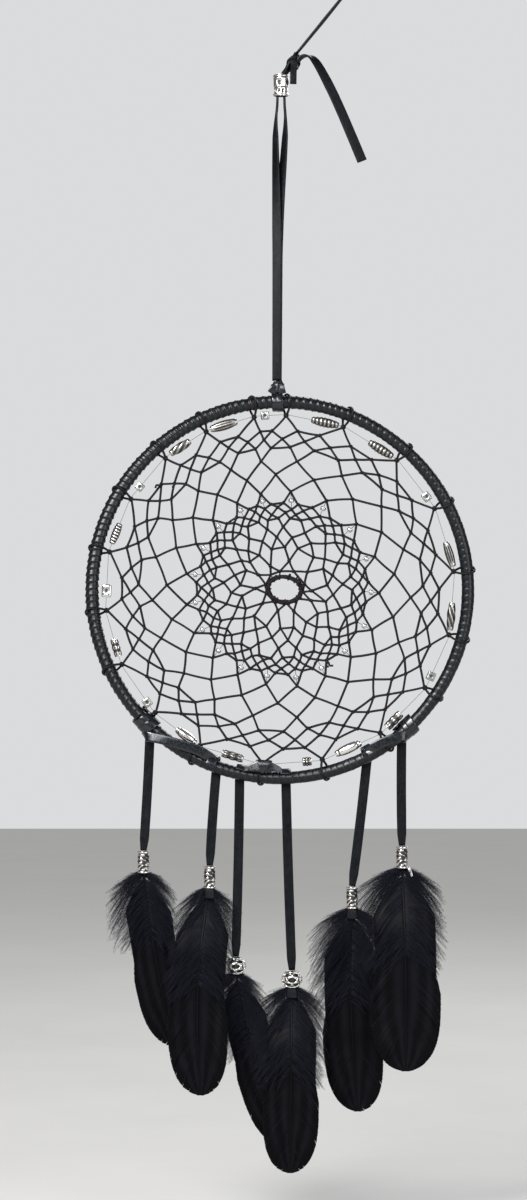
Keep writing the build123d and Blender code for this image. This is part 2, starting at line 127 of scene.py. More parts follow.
soft_light("key", (-700, 900, -1100), 0.6, 46, (1.0, 0.98, 0.95))
soft_light("fill", (1000, 200, -1000), 0.9, 9, (0.92, 0.96, 1.0))
soft_light("front", (-250, 520, -1500), 0.5, 11, (0.88, 0.94, 1.0))
soft_light("rim", (500, 700, 900), 0.8, 9, (0.95, 0.97, 1.0))

# the room is seen pale and lights the object more dimly
world = bpy.data.worlds.new("world")
world.use_nodes = True
room = world.node_tree
seen, lit = room.nodes["Background"], room.nodes.new("ShaderNodeBackground")
for node, strength in ((seen, 0.80), (lit, 0.22)):
    node.inputs["Color"].default_value = (0.88, 0.89, 0.91, 1)
    node.inputs["Strength"].default_value = strength
rays, mixed = room.nodes.new("ShaderNodeLightPath"), room.nodes.new("ShaderNodeMixShader")
room.links.new(rays.outputs["Is Camera Ray"], mixed.inputs["Fac"])
room.links.new(lit.outputs["Background"], mixed.inputs[1])
room.links.new(seen.outputs["Background"], mixed.inputs[2])
room.links.new(mixed.outputs["Shader"], room.nodes["World Output"].inputs["Surface"])
bpy.context.scene.world = world
bpy.context.scene.view_settings.view_transform = "Standard"  # keeps the blacks black


# ---- Materials ----
class Paint:
    """A node material. A call adds a node, with its links and values by socket, and returns it."""

    def __init__(self, name, **inputs):
        self.material = bpy.data.materials.new(name)
        self.material.use_nodes = True
        self.tree = self.material.node_tree
        self.shader = self.tree.nodes["Principled BSDF"]
        for key, value in inputs.items():
            self.shader.inputs[key.replace("_", " ")].default_value = value
        self.place = self("TexCoord").outputs["Object"]

    def __call__(self, kind, links=(), values=(), **settings):
        node = self.tree.nodes.new("ShaderNode" + kind)
        for key, value in settings.items():
            setattr(node, key, value)
        for key, value in dict(values).items():
            node.inputs[key].default_value = value
        for key, output in dict(links).items():
            self.tree.links.new(output, node.inputs[key])
        return node

    def noise(self, scale, detail, place=None):
        vector, values = place or self.place, {"Scale": scale, "Detail": detail}
        return self("TexNoise", {"Vector": vector}, values).outputs["Fac"]

    def cells(self, scale):
        return self("TexVoronoi", {"Vector": self.place}, {"Scale": scale}).outputs["Distance"]

    def ramp(self, socket, value, *stops):
        """Feeds a socket of the shader with a value taken through a colour ramp."""
        node = self("ValToRGB", {"Fac": value})
        while len(node.color_ramp.elements) < len(stops):
            node.color_ramp.elements.new(0.5)
        for element, (position, colour) in zip(node.color_ramp.elements, stops):
            element.position = position
            element.color = (*colour, 1) if isinstance(colour, tuple) else (colour, colour, colour, 1)
        self.tree.links.new(node.outputs["Color"], self.shader.inputs[socket])

    def maths(self, operation, a, b):
        node = self("Math", operation=operation)
        for socket, value in zip(node.inputs, (a, b)):
            if isinstance(value, (int, float)):
                socket.default_value = value
            else:
                self.tree.links.new(value, socket)
        return node.outputs[0]

    def bump(self, height, distance, strength):
        links = {"Height": height}
        if self.shader.inputs["Normal"].links:
            links["Normal"] = self.shader.inputs["Normal"].links[0].from_socket
        node = self("Bump", links, {"Strength": strength, "Distance": distance})
        self.tree.links.new(node.outputs["Normal"], self.shader.inputs["Normal"])

    def around(self, u_scale, v_scale):
        """The surface's own lengthways and roundabout position, scaled."""
        uv = self("UVMap", uv_map="lay").outputs["UV"]
        return self("Mapping", {"Vector": uv}, {"Scale": (u_scale, v_scale, 1)}).outputs["Vector"]

    def attribute(self, name):
        return self("Attribute", attribute_name=name).outputs["Fac"]


def leather_paint(name, tint, gloss, shine, grain, wound=False):
    """Near-black dyed leather: gloss is its roughness, shine its reflection. Where it is wound, painted shade
    darkens its grooves, and its raised edges are painted lighter, as wear and painted highlight."""
    paint = Paint(name, Specular_IOR_Level=shine, Coat_Weight=shine * 0.2, Coat_Roughness=0.2)
    dark, mid, light = [tuple(c * t for t in tint) for c in (0.0016, 0.0040, 0.0095)]
    mottle = paint.noise(260, 6)
    streak = paint.noise(1.0, 5, paint.around(0.12, 26))
    shade = paint.maths("MULTIPLY", mottle, streak)
    if wound:
        # painted shade in the grooves, and wear with a painted highlight on the raised edges, from the deep
        # attribute
        groove_shade_and_wear = paint.maths("SUBTRACT", 0.34, paint.maths("MULTIPLY", paint.attribute("deep"), 0.42))
        shade = paint.maths("ADD", paint.maths("MULTIPLY", shade, 0.5), groove_shade_and_wear)
    paint.ramp("Base Color", shade, (0.12, dark), (0.3, mid), (0.5, light))
    paint.ramp("Roughness", paint.noise(900, 3), (0.3, gloss - 0.1), (0.75, gloss + 0.14))
    paint.bump(paint.cells(3800), 0.00008, 0.35 * grain)
    paint.bump(streak, 0.00018, 0.45 * grain)
    paint.bump(paint.noise(420, 5), 0.00030, 0.35 * grain)
    return paint.material


def cord_paint():
    paint = Paint("waxed_cord", Specular_IOR_Level=0.15, Sheen_Weight=0.03, Sheen_Roughness=0.5)
    strands = paint("TexWave", {"Vector": paint.around(0.9, 3.0)}, {"Scale": 1.0, "Distortion": 0.4},
                    bands_direction="DIAGONAL").outputs["Fac"]
    fibre = paint.noise(5200, 4)
    paint.ramp("Base Color", paint.maths("MULTIPLY", strands, fibre),
               (0.05, (0.002, 0.0015, 0.002)), (0.55, (0.008, 0.005, 0.006)))
    paint.ramp("Roughness", fibre, (0.3, 0.38), (0.8, 0.62))
    paint.bump(strands, 0.00012, 0.7)
    paint.bump(fibre, 0.00005, 0.4)
    return paint.material


def silver_paint(name, bright, patina):
    paint = Paint(name, Metallic=1.0, Specular_IOR_Level=0.5)
    hollow = paint.attribute("deep")
    stain = paint.noise(700, 6)
    # deep gives patina in the beads' hollows, and painted shade in the sunk scrolls, windows and pillars that
    # stand for openings
    patina_and_shade = paint.maths("ADD", hollow, paint.maths("MULTIPLY", stain, patina))
    paint.ramp("Base Color", patina_and_shade, (0.22, tuple(bright * c for c in (1.0, 0.97, 0.92))),
               (0.60, tuple(bright * 0.45 * c for c in (1.0, 0.96, 0.9))), (1.0, (0.05, 0.048, 0.046)))
    paint.ramp("Roughness", patina_and_shade, (0.2, 0.20), (0.9, 0.55))
    paint.bump(paint.noise(2600, 5), 0.00005, 0.5)
    paint.bump(stain, 0.00012, 0.3)
    return paint.material


def feather_paint(name, tip, base):
    paint = Paint(name, Sheen_Weight=0.02, Sheen_Roughness=0.35, Sheen_Tint=(0.45, 0.55, 0.9, 1),
                  Specular_IOR_Level=0.06, Anisotropic=0.6)
    barbs = paint("TexWave", {"Vector": paint.around(0.0, 1.6)}, {"Scale": 1.0, "Distortion": 1.2},
                  bands_direction="Y").outputs["Fac"]
    cloud = paint.noise(75, 5)
    paint.ramp("Base Color", paint.maths("MULTIPLY", cloud, barbs), (0.08, tip), (0.6, base))
    paint.ramp("Roughness", cloud, (0.3, 0.42), (0.8, 0.6))
    paint.bump(barbs, 0.00008, 0.6)
    return paint.material


def seed_paint():
    paint = Paint("silver_lined_glass", Metallic=0.75, Coat_Weight=1.0, Coat_Roughness=0.04)
    paint.ramp("Base Color", paint.noise(1100, 3), (0.35, (0.26, 0.28, 0.30)), (0.7, (0.60, 0.62, 0.64)))
    paint.ramp("Roughness", paint.noise(900, 2), (0.3, 0.08), (0.7, 0.2))
    paint.bump(paint.noise(1500, 2), 0.00008, 0.3)
    return paint.material


def floor_paint():
    paint = Paint("pale_floor", Specular_IOR_Level=0.3, Emission_Color=(0.90, 0.895, 0.88, 1),
                  Emission_Strength=0.30)
    paint.ramp("Base Color", paint.noise(6, 4), (0.3, (0.30, 0.297, 0.29)), (0.7, (0.33, 0.327, 0.32)))
    paint.ramp("Roughness", paint.noise(20, 4), (0.3, 0.6), (0.7, 0.75))
    return paint.material


LEATHER = leather_paint("lace_leather", (0.60, 0.76, 1.15), 0.40, 0.12, 1.0)
BAND_LEATHER = leather_paint("band_leather", (0.42, 0.76, 1.40), 0.24, 0.50, 0.15)
WRAP = leather_paint("hoop_leather", (0.48, 0.76, 1.22), 0.34, 0.30, 0.4, wound=True)
WAXED = cord_paint()
SILVER = silver_paint("antique_silver", 0.72, 0.40)
DULL_SILVER = silver_paint("worn_silver", 0.50, 0.70)
# near-black silver for the body inside the filigree balls, which stands in for their inner shade
SHADE_FILL = silver_paint("painted_shade_fill", 0.05, 0.90)
VANE = feather_paint("feather_vane", (0.0010, 0.0010, 0.0015), (0.0034, 0.0034, 0.0054))
DOWN = feather_paint("feather_down", (0.0080, 0.0080, 0.0125), (0.0400, 0.0400, 0.0620))
QUILL = feather_paint("feather_quill", (0.0018, 0.0018, 0.0026), (0.006, 0.006, 0.008))
SEED = seed_paint()

bpy.ops.mesh.primitive_plane_add(size=FLOOR_SIZE, location=(*HOOP[:2], cad_box[0][2] - FLOOR_DROP))
floor = bpy.context.object
floor.name = "floor"
floor.data.materials.append(floor_paint())
floor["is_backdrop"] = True


# ---- Mesh making ----
def unit(vectors):
    return vectors / np.maximum(np.linalg.norm(vectors, axis=-1, keepdims=True), 1e-12)


def curve_through(rows, steps):
    """A smooth curve through rows of numbers, with so many steps from each row to the next."""
    rows = np.asarray(rows, float)
    padded = np.vstack([2 * rows[0] - rows[1], rows, 2 * rows[-1] - rows[-2]])
    t = np.linspace(0, 1, steps, endpoint=False)[:, None]
    pieces = []
    for a, b, c, d in zip(padded, padded[1:], padded[2:], padded[3:]):
        pieces.append(0.5 * (2 * b + (c - a) * t + (2 * a - 5 * b + 4 * c - d) * t ** 2
                             + (3 * b - a - 3 * c + d) * t ** 3))
    return np.vstack(pieces + [rows[-1:]])


def outline(half_width, half_thick, power, count):
    """A closed section: round for power 2, and more like a rectangle as the power rises."""
    a = np.arange(count) * 2 * pi / count + pi / count
    return np.stack([half_width * np.sign(np.cos(a)) * abs(np.cos(a)) ** (2 / power),
                     half_thick * np.sign(np.sin(a)) * abs(np.sin(a)) ** (2 / power)], -1)


def flat(width=LACE, thick=THICK):
    """The section of a flat lace."""
    return outline(width / 2, thick / 2, 5, 20)


def full_turn(count):
    """Angles once round, without the last, which is the first again."""
    return np.linspace(0, 2 * pi, count, endpoint=False)


def oval(centre, first, second, angles):
    """Places round a centre, with two half axes."""
    return np.asarray(centre) + np.outer(np.cos(angles), first) + np.outer(np.sin(angles), second)


def frames(path, sides):
    """Directions across a path: the given side made square to the path, and the one square to both."""
    ahead = unit(np.gradient(path, axis=0))
    across = unit(sides - (sides * ahead).sum(-1, keepdims=True) * ahead)
    return across, np.cross(ahead, across)


class Shape:
    """Gathers the surfaces of one piece."""

    def __init__(self):
        self.points, self.faces, self.lay, self.deep, self.count = [], [], [], [], 0

    def add(self, points, deep):
        """Takes in points in metres, and how deep each lies in a hollow; returns the first one's number."""
        self.points.append(points.reshape(-1, 3))
        self.deep.append(np.broadcast_to(deep, points.shape[:-1]).reshape(-1))
        start = self.count
        self.count += points.reshape(-1, 3).shape[0]
        return start

    def rings(self, rings, deep=0.0, loop=False):
        """Rings of points, in metres, joined into a tube that is capped, or a loop. deep is 1 in hollows."""
        n, k = rings.shape[:2]
        start = self.add(rings, deep)
        i, j = np.meshgrid(np.arange(n if loop else n - 1), np.arange(k), indexing="ij")
        j2, i2 = (j + 1) % k, (i + 1) % n
        self.faces.append(np.stack([i * k + j, i * k + j2, i2 * k + j2, i2 * k + j], -1).reshape(-1, 4) + start)
        middle = rings.mean(1)
        run = np.append(0, np.cumsum(np.linalg.norm(np.diff(middle, axis=0), axis=1))) / MM
        run = np.append(run, run[-1] + run[1])
        u, v = run[i], j / k
        self.lay.append(np.stack([u, v, u, v + 1 / k, run[i + 1], v + 1 / k, run[i + 1], v],
                                 -1).reshape(-1, 4, 2))
        if not loop:
            for end, base in ((0, start), (n - 1, start + (n - 1) * k)):
                tip = self.add(middle[end][None], np.mean(np.broadcast_to(deep, (n, k))[end]))
                a = np.arange(k)
                self.faces.append(np.stack([base + a, base + (a + 1) % k, tip + 0 * a], -1))
                self.lay.append(np.tile([run[end], 0.5], (k, 3, 1)))

    def sweep(self, path, sides, section, scale=None, loop=False):
        """A section carried along a path; both in millimetres from the hoop's centre."""
        path, sides = np.asarray(path, float), np.broadcast_to(np.asarray(sides, float), np.shape(path))
        across, up = frames(path, sides)
        if loop:
            wide = np.vstack([path[-1:], path, path[:1]])
            across, up = [d[1:-1] for d in frames(wide, np.vstack([sides[-1:], sides, sides[:1]]))]
        size = np.ones(len(path)) if scale is None else scale
        section = np.broadcast_to(section, (len(path), *np.shape(section)[-2:])) * size[:, None, None]
        rings = path[:, None] + across[:, None] * section[..., :1] + up[:, None] * section[..., 1:]
        self.rings(HOOP + rings * MM, loop=loop)

    def closed(self, path, sides, half_width, half_thick, count):
        """A closed turn of round cord or wire."""
        self.sweep(path, sides, outline(half_width, half_thick, 2, count), loop=True)

    def cord(self, points, radius, steps, sides=8):
        """A round cord through a few places."""
        path = curve_through(points, steps)
        level = abs(unit(path[-1] - path[0])[1]) < 0.8
        self.sweep(path, BACK if level else (0.3, 0, 1.0), outline(radius, radius, 2, sides))

    def lace(self, points, sides, width, thick, steps=8, scale=None):
        """A flat lace whose width lies along the given sides."""
        points = np.asarray(points, float)
        rows = np.hstack([points, np.broadcast_to(np.asarray(sides, float), points.shape)])
        rows = curve_through(rows, steps)
        self.sweep(rows[:, :3], rows[:, 3:], flat(width, thick), scale)

    def piece(self, name, material, body, replaces, slot):
        points = np.vstack(self.points)
        mesh = bpy.data.meshes.new(name)
        mesh.from_pydata(points.tolist(), [], [f for block in self.faces for f in block.tolist()])
        layer = mesh.uv_layers.new(name="lay")
        layer.data.foreach_set("uv", np.concatenate([block.reshape(-1, 2) for block in self.lay]).ravel())
        mesh.attributes.new("deep", "FLOAT", "POINT").data.foreach_set("value", np.concatenate(self.deep))
        mesh.materials.append(material)
        solid = bmesh.new()
        solid.from_mesh(mesh)
        bmesh.ops.recalc_face_normals(solid, faces=solid.faces)
        solid.to_mesh(mesh)
        solid.free()
        mesh.polygons.foreach_set("use_smooth", [True] * len(mesh.polygons))
        made = bpy.data.objects.new(name, mesh)
        bpy.context.scene.collection.objects.link(made)
        if body:
            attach(made, body)
        if replaces:
            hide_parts(*replaces)
        return made


def route(points):
    """The line of the NURBS spline that has a cord's route as its control points, in metres."""
    curve = bpy.data.curves.new("route", "CURVE")
    curve.dimensions, curve.resolution_u = "3D", 10
    spline = curve.splines.new("NURBS")
    spline.points.add(len(points) - 1)
    for point, place in zip(spline.points, points):
        point.co = (*place, 1)
    spline.order_u = 3
    spline.use_endpoint_u = True
    holder = bpy.data.objects.new("route", curve)
    mesh = bpy.data.meshes.new_from_object(holder)
    line = np.array([tuple(v.co) for v in mesh.vertices])
    bpy.data.objects.remove(holder)
    bpy.data.curves.remove(curve)
    bpy.data.meshes.remove(mesh)
    return line


def lace_along(line, turns):
    """A flat lace on a line in metres. turns lists (share of the line, degrees, width share): how far the
    width is turned from +x, seen from above."""
    shape = Shape()
    share = np.append(0, np.cumsum(np.linalg.norm(np.diff(line, axis=0), axis=1)))
    share /= share[-1]
    fine = np.linspace(0, 1, max(len(line) * 2, 60))
    path = np.stack([np.interp(fine, share, line[:, i]) for i in range(3)], -1)
    stops = np.array(turns, float)
    angle = np.radians(np.interp(fine, stops[:, 0], stops[:, 1]))
    scale = np.interp(fine, stops[:, 0], stops[:, 2])
    sides = np.stack([np.cos(angle), np.sin(angle), 0 * angle], -1)
    shape.sweep((path - HOOP) / MM, sides, np.array([flat(LACE * s) for s in scale]))
    return shape


def spoke(angle):
    """The way out from the hoop's centre, at an angle in degrees from the right."""
    return np.array((cos(radians(angle)), 0, sin(radians(angle))))


def on_tube(hoop_angle, round_angle, reach):
    """A place by the hoop's tube: 0 is its inner side, -90 its front, 90 its back, 180 its outer side."""
    inwards, back = reach * cos(radians(round_angle)), reach * sin(radians(round_angle))
    return (RING - inwards) * spoke(hoop_angle) + back * BACK


# ---- Hanger ----
LOOP_KNOT = (38.1, 305.0)
STRAND_FOOT = (8.6, 268.6)
TAIL_ROUTE = [(8.4, 260.6), (8.8, 264.4), (11.0, 266.9), (14.2, 267.2), (17.2, 265.4),
              (21.2, 259.0), (29.8, 241.8), (41.1, 214.4)]

strand_way = unit(np.array(LOOP_KNOT) - STRAND_FOOT)
strand_end = np.array(LOOP_KNOT) - 3.0 * strand_way
strand_middle = (np.array(STRAND_FOOT) + strand_end) / 2 + (0.2, -0.1)
strand_line = route([at(*STRAND_FOOT), at(*strand_middle), at(*strand_end)])
strand = lace_along(strand_line, [(0, 90, 1), (0.5, 82, 1), (1, 90, 1)]).piece(
    "hanging_lace", LEATHER, "hanger", ["hanging_strand"], "lace")

tail_line = route([at(*p) for p in TAIL_ROUTE])
TAIL_TURNS = [(0, 80, 0.8), (0.08, 66, 0.85), (0.15, 44, 0.9), (0.23, 24, 0.94), (0.40, 10, 1.0), (1, 6, 1.04)]
tail = lace_along(tail_line, TAIL_TURNS).piece(
    "hanger_tail_lace", LEATHER, "hanger", ["hanger_tail"], "lace")

LEG_STATIONS = [(-1.5, 0.8, 104.6), (-1.3, 0.85, 142), (-1.2, 0.8, 180), (0.1, 0.5, 226), (0.4, 0.0, 237),
                (0.5, 0.0, 243), (0.5, 0.0, 257.4)]
LEG_APART = [0, 0.1, 0.2, 2.5, 2.4, 1.65, 1.6]
for side, name in ((-1, "leg_front"), (1, "leg_back")):
    line = route([at(x + side * apart, z, side * y) for (x, y, z), apart in zip(LEG_STATIONS, LEG_APART)])
    turns = [(0, 0, 1), (0.25, -4, 1), (0.49, -12, 1), (0.80, -55, 0.88), (0.87, -84, 0.7), (1, -90, 0.66)]
    leg = lace_along(line, turns).piece(name + "_lace", LEATHER, None, [name], "lace")
    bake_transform(leg)

# ---- Pendant laces ----
# top and end of each pendant lace
STRAPS = [((-65.2, -72.8), (-68.4, -130.6)), ((-31.8, -89.6), (-35.2, -138.2)),
          ((-20.2, -93.4), (-22.2, -183.8)), ((3.0, -95.6), (6.0, -190.6)),
          ((43.7, -84.6), (36.2, -148.4)), ((61.0, -75.6), (61.2, -128.2))]
STRAP_TURNS = [(6, -4), (-5, 10), (4, -3), (3, 8), (-7, 5), (5, -6)]
for number, ((top, end), (first, last)) in enumerate(zip(STRAPS, STRAP_TURNS), 1):
    bend = 0.5 if number % 2 else -0.5
    middle = ((top[0] + end[0]) / 2 + bend, (top[1] + end[1]) / 2)
    line = route([at(*top, STRAP_Y), at(*middle, STRAP_Y + bend * 0.6), at(*end, STRAP_Y)])
    length = hypot(end[0] - top[0], end[1] - top[1])
    neck = 1 - 6.0 / length  # it narrows into its bead
    turns = [(0, 0, 1), (0.2, first, 1), (0.7, last, 1), (neck, 0, 0.96), (1, 0, 0.66)]
    strap = lace_along(line, turns).piece(f"strap_lace_{number}", LEATHER, None, [f"strap_{number}"], "lace")
    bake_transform(strap)

# ---- Knots and loops of the hanger ----
NAIL_LOOP, NAIL_RADIUS = (43.7, 0, 312.0), 4.6
nail = Shape()
nail.sweep(oval(NAIL_LOOP, (NAIL_RADIUS, 0, 0), (0, 0, NAIL_RADIUS), full_turn(48)), BACK, flat(), loop=True)
nail.piece("nail_loop_lace", LEATHER, "hanger", ["nail_loop"], "lace")


def knot_turns(shape, centre, axis, across, radius, width, turns, spread, squash):
    """Lace wound a few turns round an axis, each turn a little further along it."""
    axis, across = unit(np.array(axis, float)), unit(np.array(across, float))
    other = np.cross(axis, across)
    t = np.linspace(0, 1, int(26 * turns) + 2)
    a = 2 * pi * turns * t
    lift = radius * (1 + 0.10 * np.sin(3 * a + 0.7))
    path = (np.array(centre) + np.outer(lift * np.cos(a), across) + np.outer(squash * lift * np.sin(a), other)
            + np.outer(spread * (t - 0.5), axis))
    shape.sweep(path, unit(axis + np.outer(0.18 * np.cos(a * 0.7), other)), outline(width / 2, 0.5, 4, 16))


loop_knot = Shape()
way = np.array((strand_way[0], 0, strand_way[1]))
knot = np.array((LOOP_KNOT[0], 0, LOOP_KNOT[1]))
knot_turns(loop_knot, knot, way, BACK, 2.3, 3.4, 1.6, 2.6, 0.9)
loop_knot.lace([knot - 2.9 * way, knot + (0.3, 0.4, 0), knot + 2.6 * way], BACK, 3.6, 2.2)
loop_knot.piece("loop_knot_lace", LEATHER, "hanger", ["loop_knot"], "lace")

# the bundle leans up out of the bead, with one turn round it; the stub hangs in front, the tail leaves behind
top_knot = Shape()
for points, side, width, thick, sizes in (
        ([(2.2, -0.2, 257.4), (3.4, -0.4, 259.6), (5.0, -0.5, 262.6), (6.6, -0.3, 265.4), (8.9, 0, 268.9)],
         (0.5, 0.85, -0.2), 3.8, 1.5, np.interp(np.arange(33), [0, 14, 24, 32], [0.8, 1.1, 1.0, 0.45])),
        ([(1.9, 0.9, 258.0), (3.6, 1.3, 260.4), (5.6, 1.4, 263.2), (7.2, 1.0, 266.0), (8.6, 0.2, 268.4)],
         (0.85, -0.3, -0.5), 3.0, 1.1, None),
        ([(4.3, -1.6, 263.4), (5.5, -2.1, 264.8), (7.2, -2.0, 265.9), (8.6, -1.1, 265.4), (9.2, 0.3, 264.0),
          (8.4, 1.7, 262.4), (6.6, 2.1, 261.4), (5.0, 1.6, 261.4), (4.1, 0.2, 262.2), (4.3, -1.4, 263.1)],
         (0.35, 0.1, -0.9), 2.7, 1.0, None),
        ([(5.4, -1.6, 265.0), (6.4, -2.5, 264.6), (6.9, -2.6, 262.2), (6.7, -2.0, 258.4), (6.6, -1.8, 252.7)],
         (1, 0.08, 0.05), 3.3, 1.1, None),
        ([(4.6, 0.7, 259.6), (6.0, 0.8, 259.5), (7.4, 0.6, 259.8), (8.4, 0.2, 260.9)],
         (0.2, 1, 0.1), 3.2, 1.0, None)):
    top_knot.lace(points, side, width, thick, scale=sizes)
top_knot.piece("top_knot_lace", LEATHER, "hanger", ["top_knot"], "lace")

# ---- Hitch at the hoop's top ----
hitch = Shape()
HITCH_X = -1.25
for offset, reach in ((-1.1, 4.35), (1.15, 4.47)):
    path = oval((HITCH_X + offset, 0, RING), (0, -reach, 0), (0.25, 0, -reach),
                np.linspace(radians(-62), radians(242), 40))
    hitch.sweep(path, (1, 0, 0.04), outline(1.75, 0.5, 4, 16))
# wings that flare from under the bar, in front and behind
for depth, lean in ((-1.9, 1.0), (1.9, -1.0)):
    hitch.lace([(-0.9, depth * 0.8, 104.3), (-2.2, depth * 1.25, 101.6), (-4.4, depth * 1.2, 98.4)],
               (1, 0.1 * lean, 0.3), 4.0, 1.0)
    hitch.lace([(-0.6, depth * 0.7, 104.3), (0.5, depth * 1.15, 101.4), (1.4, depth * 1.15, 98.3)],
               (1, -0.1 * lean, -0.25), 3.4, 1.0)
hitch.sweep(oval((-1.3, 0, 100.9), (2.9, 0, 0.35), (0, 2.352, 0), full_turn(44)), (0.05, 0, 1),
            outline(2.3, 0.55, 4, 16), loop=True)
hitch.piece("hoop_hitch_lace", BAND_LEATHER, "hitch", ["hoop_hitch"], "lace")

# ---- Hoop wrap ----
PITCH = 3.3
TURNS = round(2 * pi * RING / PITCH)
ALONG, ROUND = TURNS * 12, 26
uneven = np.random.default_rng(5)


def smooth_noise(count, knots, rng):
    """A wavy closed line of numbers about 0."""
    values = rng.normal(size=knots)
    place = np.arange(count) * knots / count
    whole = place.astype(int)
    part = (1 - np.cos((place - whole) * pi)) / 2
    return values[whole % knots] * (1 - part) + values[(whole + 1) % knots] * part


phi = np.arange(ALONG) * 2 * pi / ALONG
theta = np.arange(ROUND) * 2 * pi / ROUND
wander = smooth_noise(ALONG, 60, uneven)[:, None] * 0.10
turn = (phi[:, None] / (2 * pi) * TURNS + theta[None] / (2 * pi) + wander) % 1
# each turn climbs from under its neighbour to a raised, rounded edge
crown = np.clip(turn / 0.82, 0, 1) ** 1.6 - np.clip((turn - 0.82) / 0.18, 0, 1) ** 1.2
# the ridges are strongest at the left, and smoothest at the bottom
facing = 0.62 + 0.38 * np.cos(phi - radians(165))
bottom = np.exp(-((np.degrees(phi) - 275) / 26) ** 2)
ridge = (0.50 * facing * (1 - 0.70 * bottom))[:, None]
fold = smooth_noise(ALONG, 900, uneven)[:, None] * 0.03 * np.cos(theta * 2 + 1)[None]
reach = TUBE - 0.42 + ridge * crown + fold + 0.05 * smooth_noise(ALONG, 170, uneven)[:, None]
wrap = Shape()
centre = np.stack([np.cos(phi), 0 * phi, np.sin(phi)], -1)
inward = -centre[:, None] * np.cos(theta)[None, :, None]
across = BACK[None, None] * np.sin(theta)[None, :, None]
# deep is 1 in the grooves between turns, where the wrap's leather gets painted shade
wrap.rings(HOOP + (RING * centre[:, None] + reach[..., None] * (inward + across)) * MM,
           deep=np.clip(1 - crown, 0, 1), loop=True)
wrap.piece("hoop_wrap_lace", WRAP, "hoop", ["hoop_wrap"], "lace")

# ---- Laces along the bottom ----
FRONT_ANGLE, JOIN_ANGLE, BACK_ANGLE = -96, 84, 88  # round the tube: a foot's start, its strap's, its end


def wind(shape, start, stop, first, last, reach, half_width=LACE / 2, half_thick=0.55):
    """A lace wound round the tube, between two hoop angles and between two angles round the tube."""
    shares = np.linspace(0, 1, 40)
    angles = [start + (stop - start) * share for share in shares]
    places = [on_tube(angle, first + (last - first) * share, reach) for angle, share in zip(angles, shares)]
    shape.sweep(places, [spoke(angle + 90) for angle in angles], outline(half_width, half_thick, 4, 18))


def side_lace(name, hitches, gap, half_width, width, band, foot, ends):
    """A lace hitched on the hoop, led along its front and wound over it into the pendant lace. band lists
    places and the way that the width lies there."""
    shape = Shape()
    for start, stop, reach in hitches:
        wind(shape, start, stop, gap, 360 - gap, reach, half_width, 0.5)
    shape.lace([place for place, _ in band], [side for _, side in band], width, 1.1, 10)
    wind(shape, *foot, FRONT_ANGLE, BACK_ANGLE, 5.0)
    shape.lace([on_tube(foot[1], JOIN_ANGLE, 5.0), *ends], (1, 0, 0), LACE, 1.1, 6)
    shape.piece(name + "_wraps", BAND_LEATHER, "hoop", [name], "lace")


side_lace("lace_left", ((-138.2, -135.6, 4.5), (-135.8, -133.4, 4.75)), 14, 2.5, 5.0,
          [((-66.0, 3.6, -72.6), (-0.9, 0, 0.3)), ((-67.4, 0.2, -73.4), (-0.6, 0.1, 0.8)),
           ((-66.2, -4.3, -73.2), (-0.1, 0.2, 1)), ((-60.0, -5.3, -74.2), (0.25, 0.12, 1)),
           ((-50.0, -5.35, -76.9), (0.3, 0, 1)), ((-41.0, -5.2, -79.9), (0.36, 0, 1)),
           ((-36.4, -4.9, -82.4), (0.6, 0, 0.9)), ((-33.4, -2.6, -84.6), (0.93, 0, -0.36)),
           ((-32.5, 0.6, -86.4), (0.93, 0, -0.36))],
          (-112.0, -110.4), [(-31.9, 4.7, -88.4), (-31.8, 4.5, -90.4)])
side_lace("lace_right", ((-49.9, -46.6, 4.15), (-47.6, -45.2, 4.5)), 8, 2.2, 4.9,
          [((61.6, 3.8, -74.6), (1, 0, 0.2)), ((63.4, 0.2, -74.8), (0.7, 0.1, 0.8)),
           ((62.6, -4.0, -72.8), (0.1, 0.1, 1)), ((57.6, -5.2, -73.6), (-0.3, 0.1, 1)),
           ((50.4, -5.3, -76.4), (-0.36, 0, 1)), ((45.6, -5.0, -79.4), (-0.55, 0, 0.9)),
           ((43.6, -3.0, -81.6), (-0.88, 0, -0.48)), ((43.2, 0.4, -83.0), (-0.88, 0, -0.48))],
          (-60.6, -62.2), [(43.8, 4.7, -83.4), (43.7, 4.5, -85.4)])

middle = Shape()
for foot, ((x, z), _) in zip((-102.2, -88.2), STRAPS[2:4]):
    wind(middle, foot - 0.3, foot + 0.3, -60, BACK_ANGLE, 4.15)
    middle.lace([on_tube(foot, JOIN_ANGLE, 4.2), (x, 4.6, z + 0.9), (x, 4.5, z - 0.8)], (1, 0, 0), LACE, 1.1, 6)
# the bight between them lies low in front of the web's knot, and its fold is a tongue that catches the light
middle.lace([(-18.8, -3.4, -90.0), (-16.4, -4.0, -89.0), (-12.4, -4.5, -88.2), (-8.4, -4.7, -88.0),
             (-4.4, -4.5, -88.3), (-1.0, -4.0, -89.2), (1.4, -3.4, -90.4)],
            [(0.2, 0.3, 1), (0.12, 0.2, 1), (0.06, 0.15, 1), (0, 0.1, 1), (-0.06, 0.15, 1),
             (-0.15, 0.2, 1), (-0.25, 0.3, 1)], 5.4, 1.1,
            scale=np.interp(np.arange(49), [0, 10, 20, 28, 38, 48], [0.30, 0.62, 1.02, 1.02, 0.60, 0.28]))
middle.lace([(-8.0, -4.7, -84.9), (-8.1, -5.5, -86.4), (-8.5, -5.8, -88.6), (-9.0, -5.3, -91.4)], (1, 0, 0), 8.4,
            0.9, 10, np.interp(np.arange(31), [0, 3, 12, 22, 30], [0.90, 1.0, 0.78, 0.40, 0.12]))
middle.piece("lace_middle_wraps", BAND_LEATHER, "hoop", ["lace_middle"], "lace")

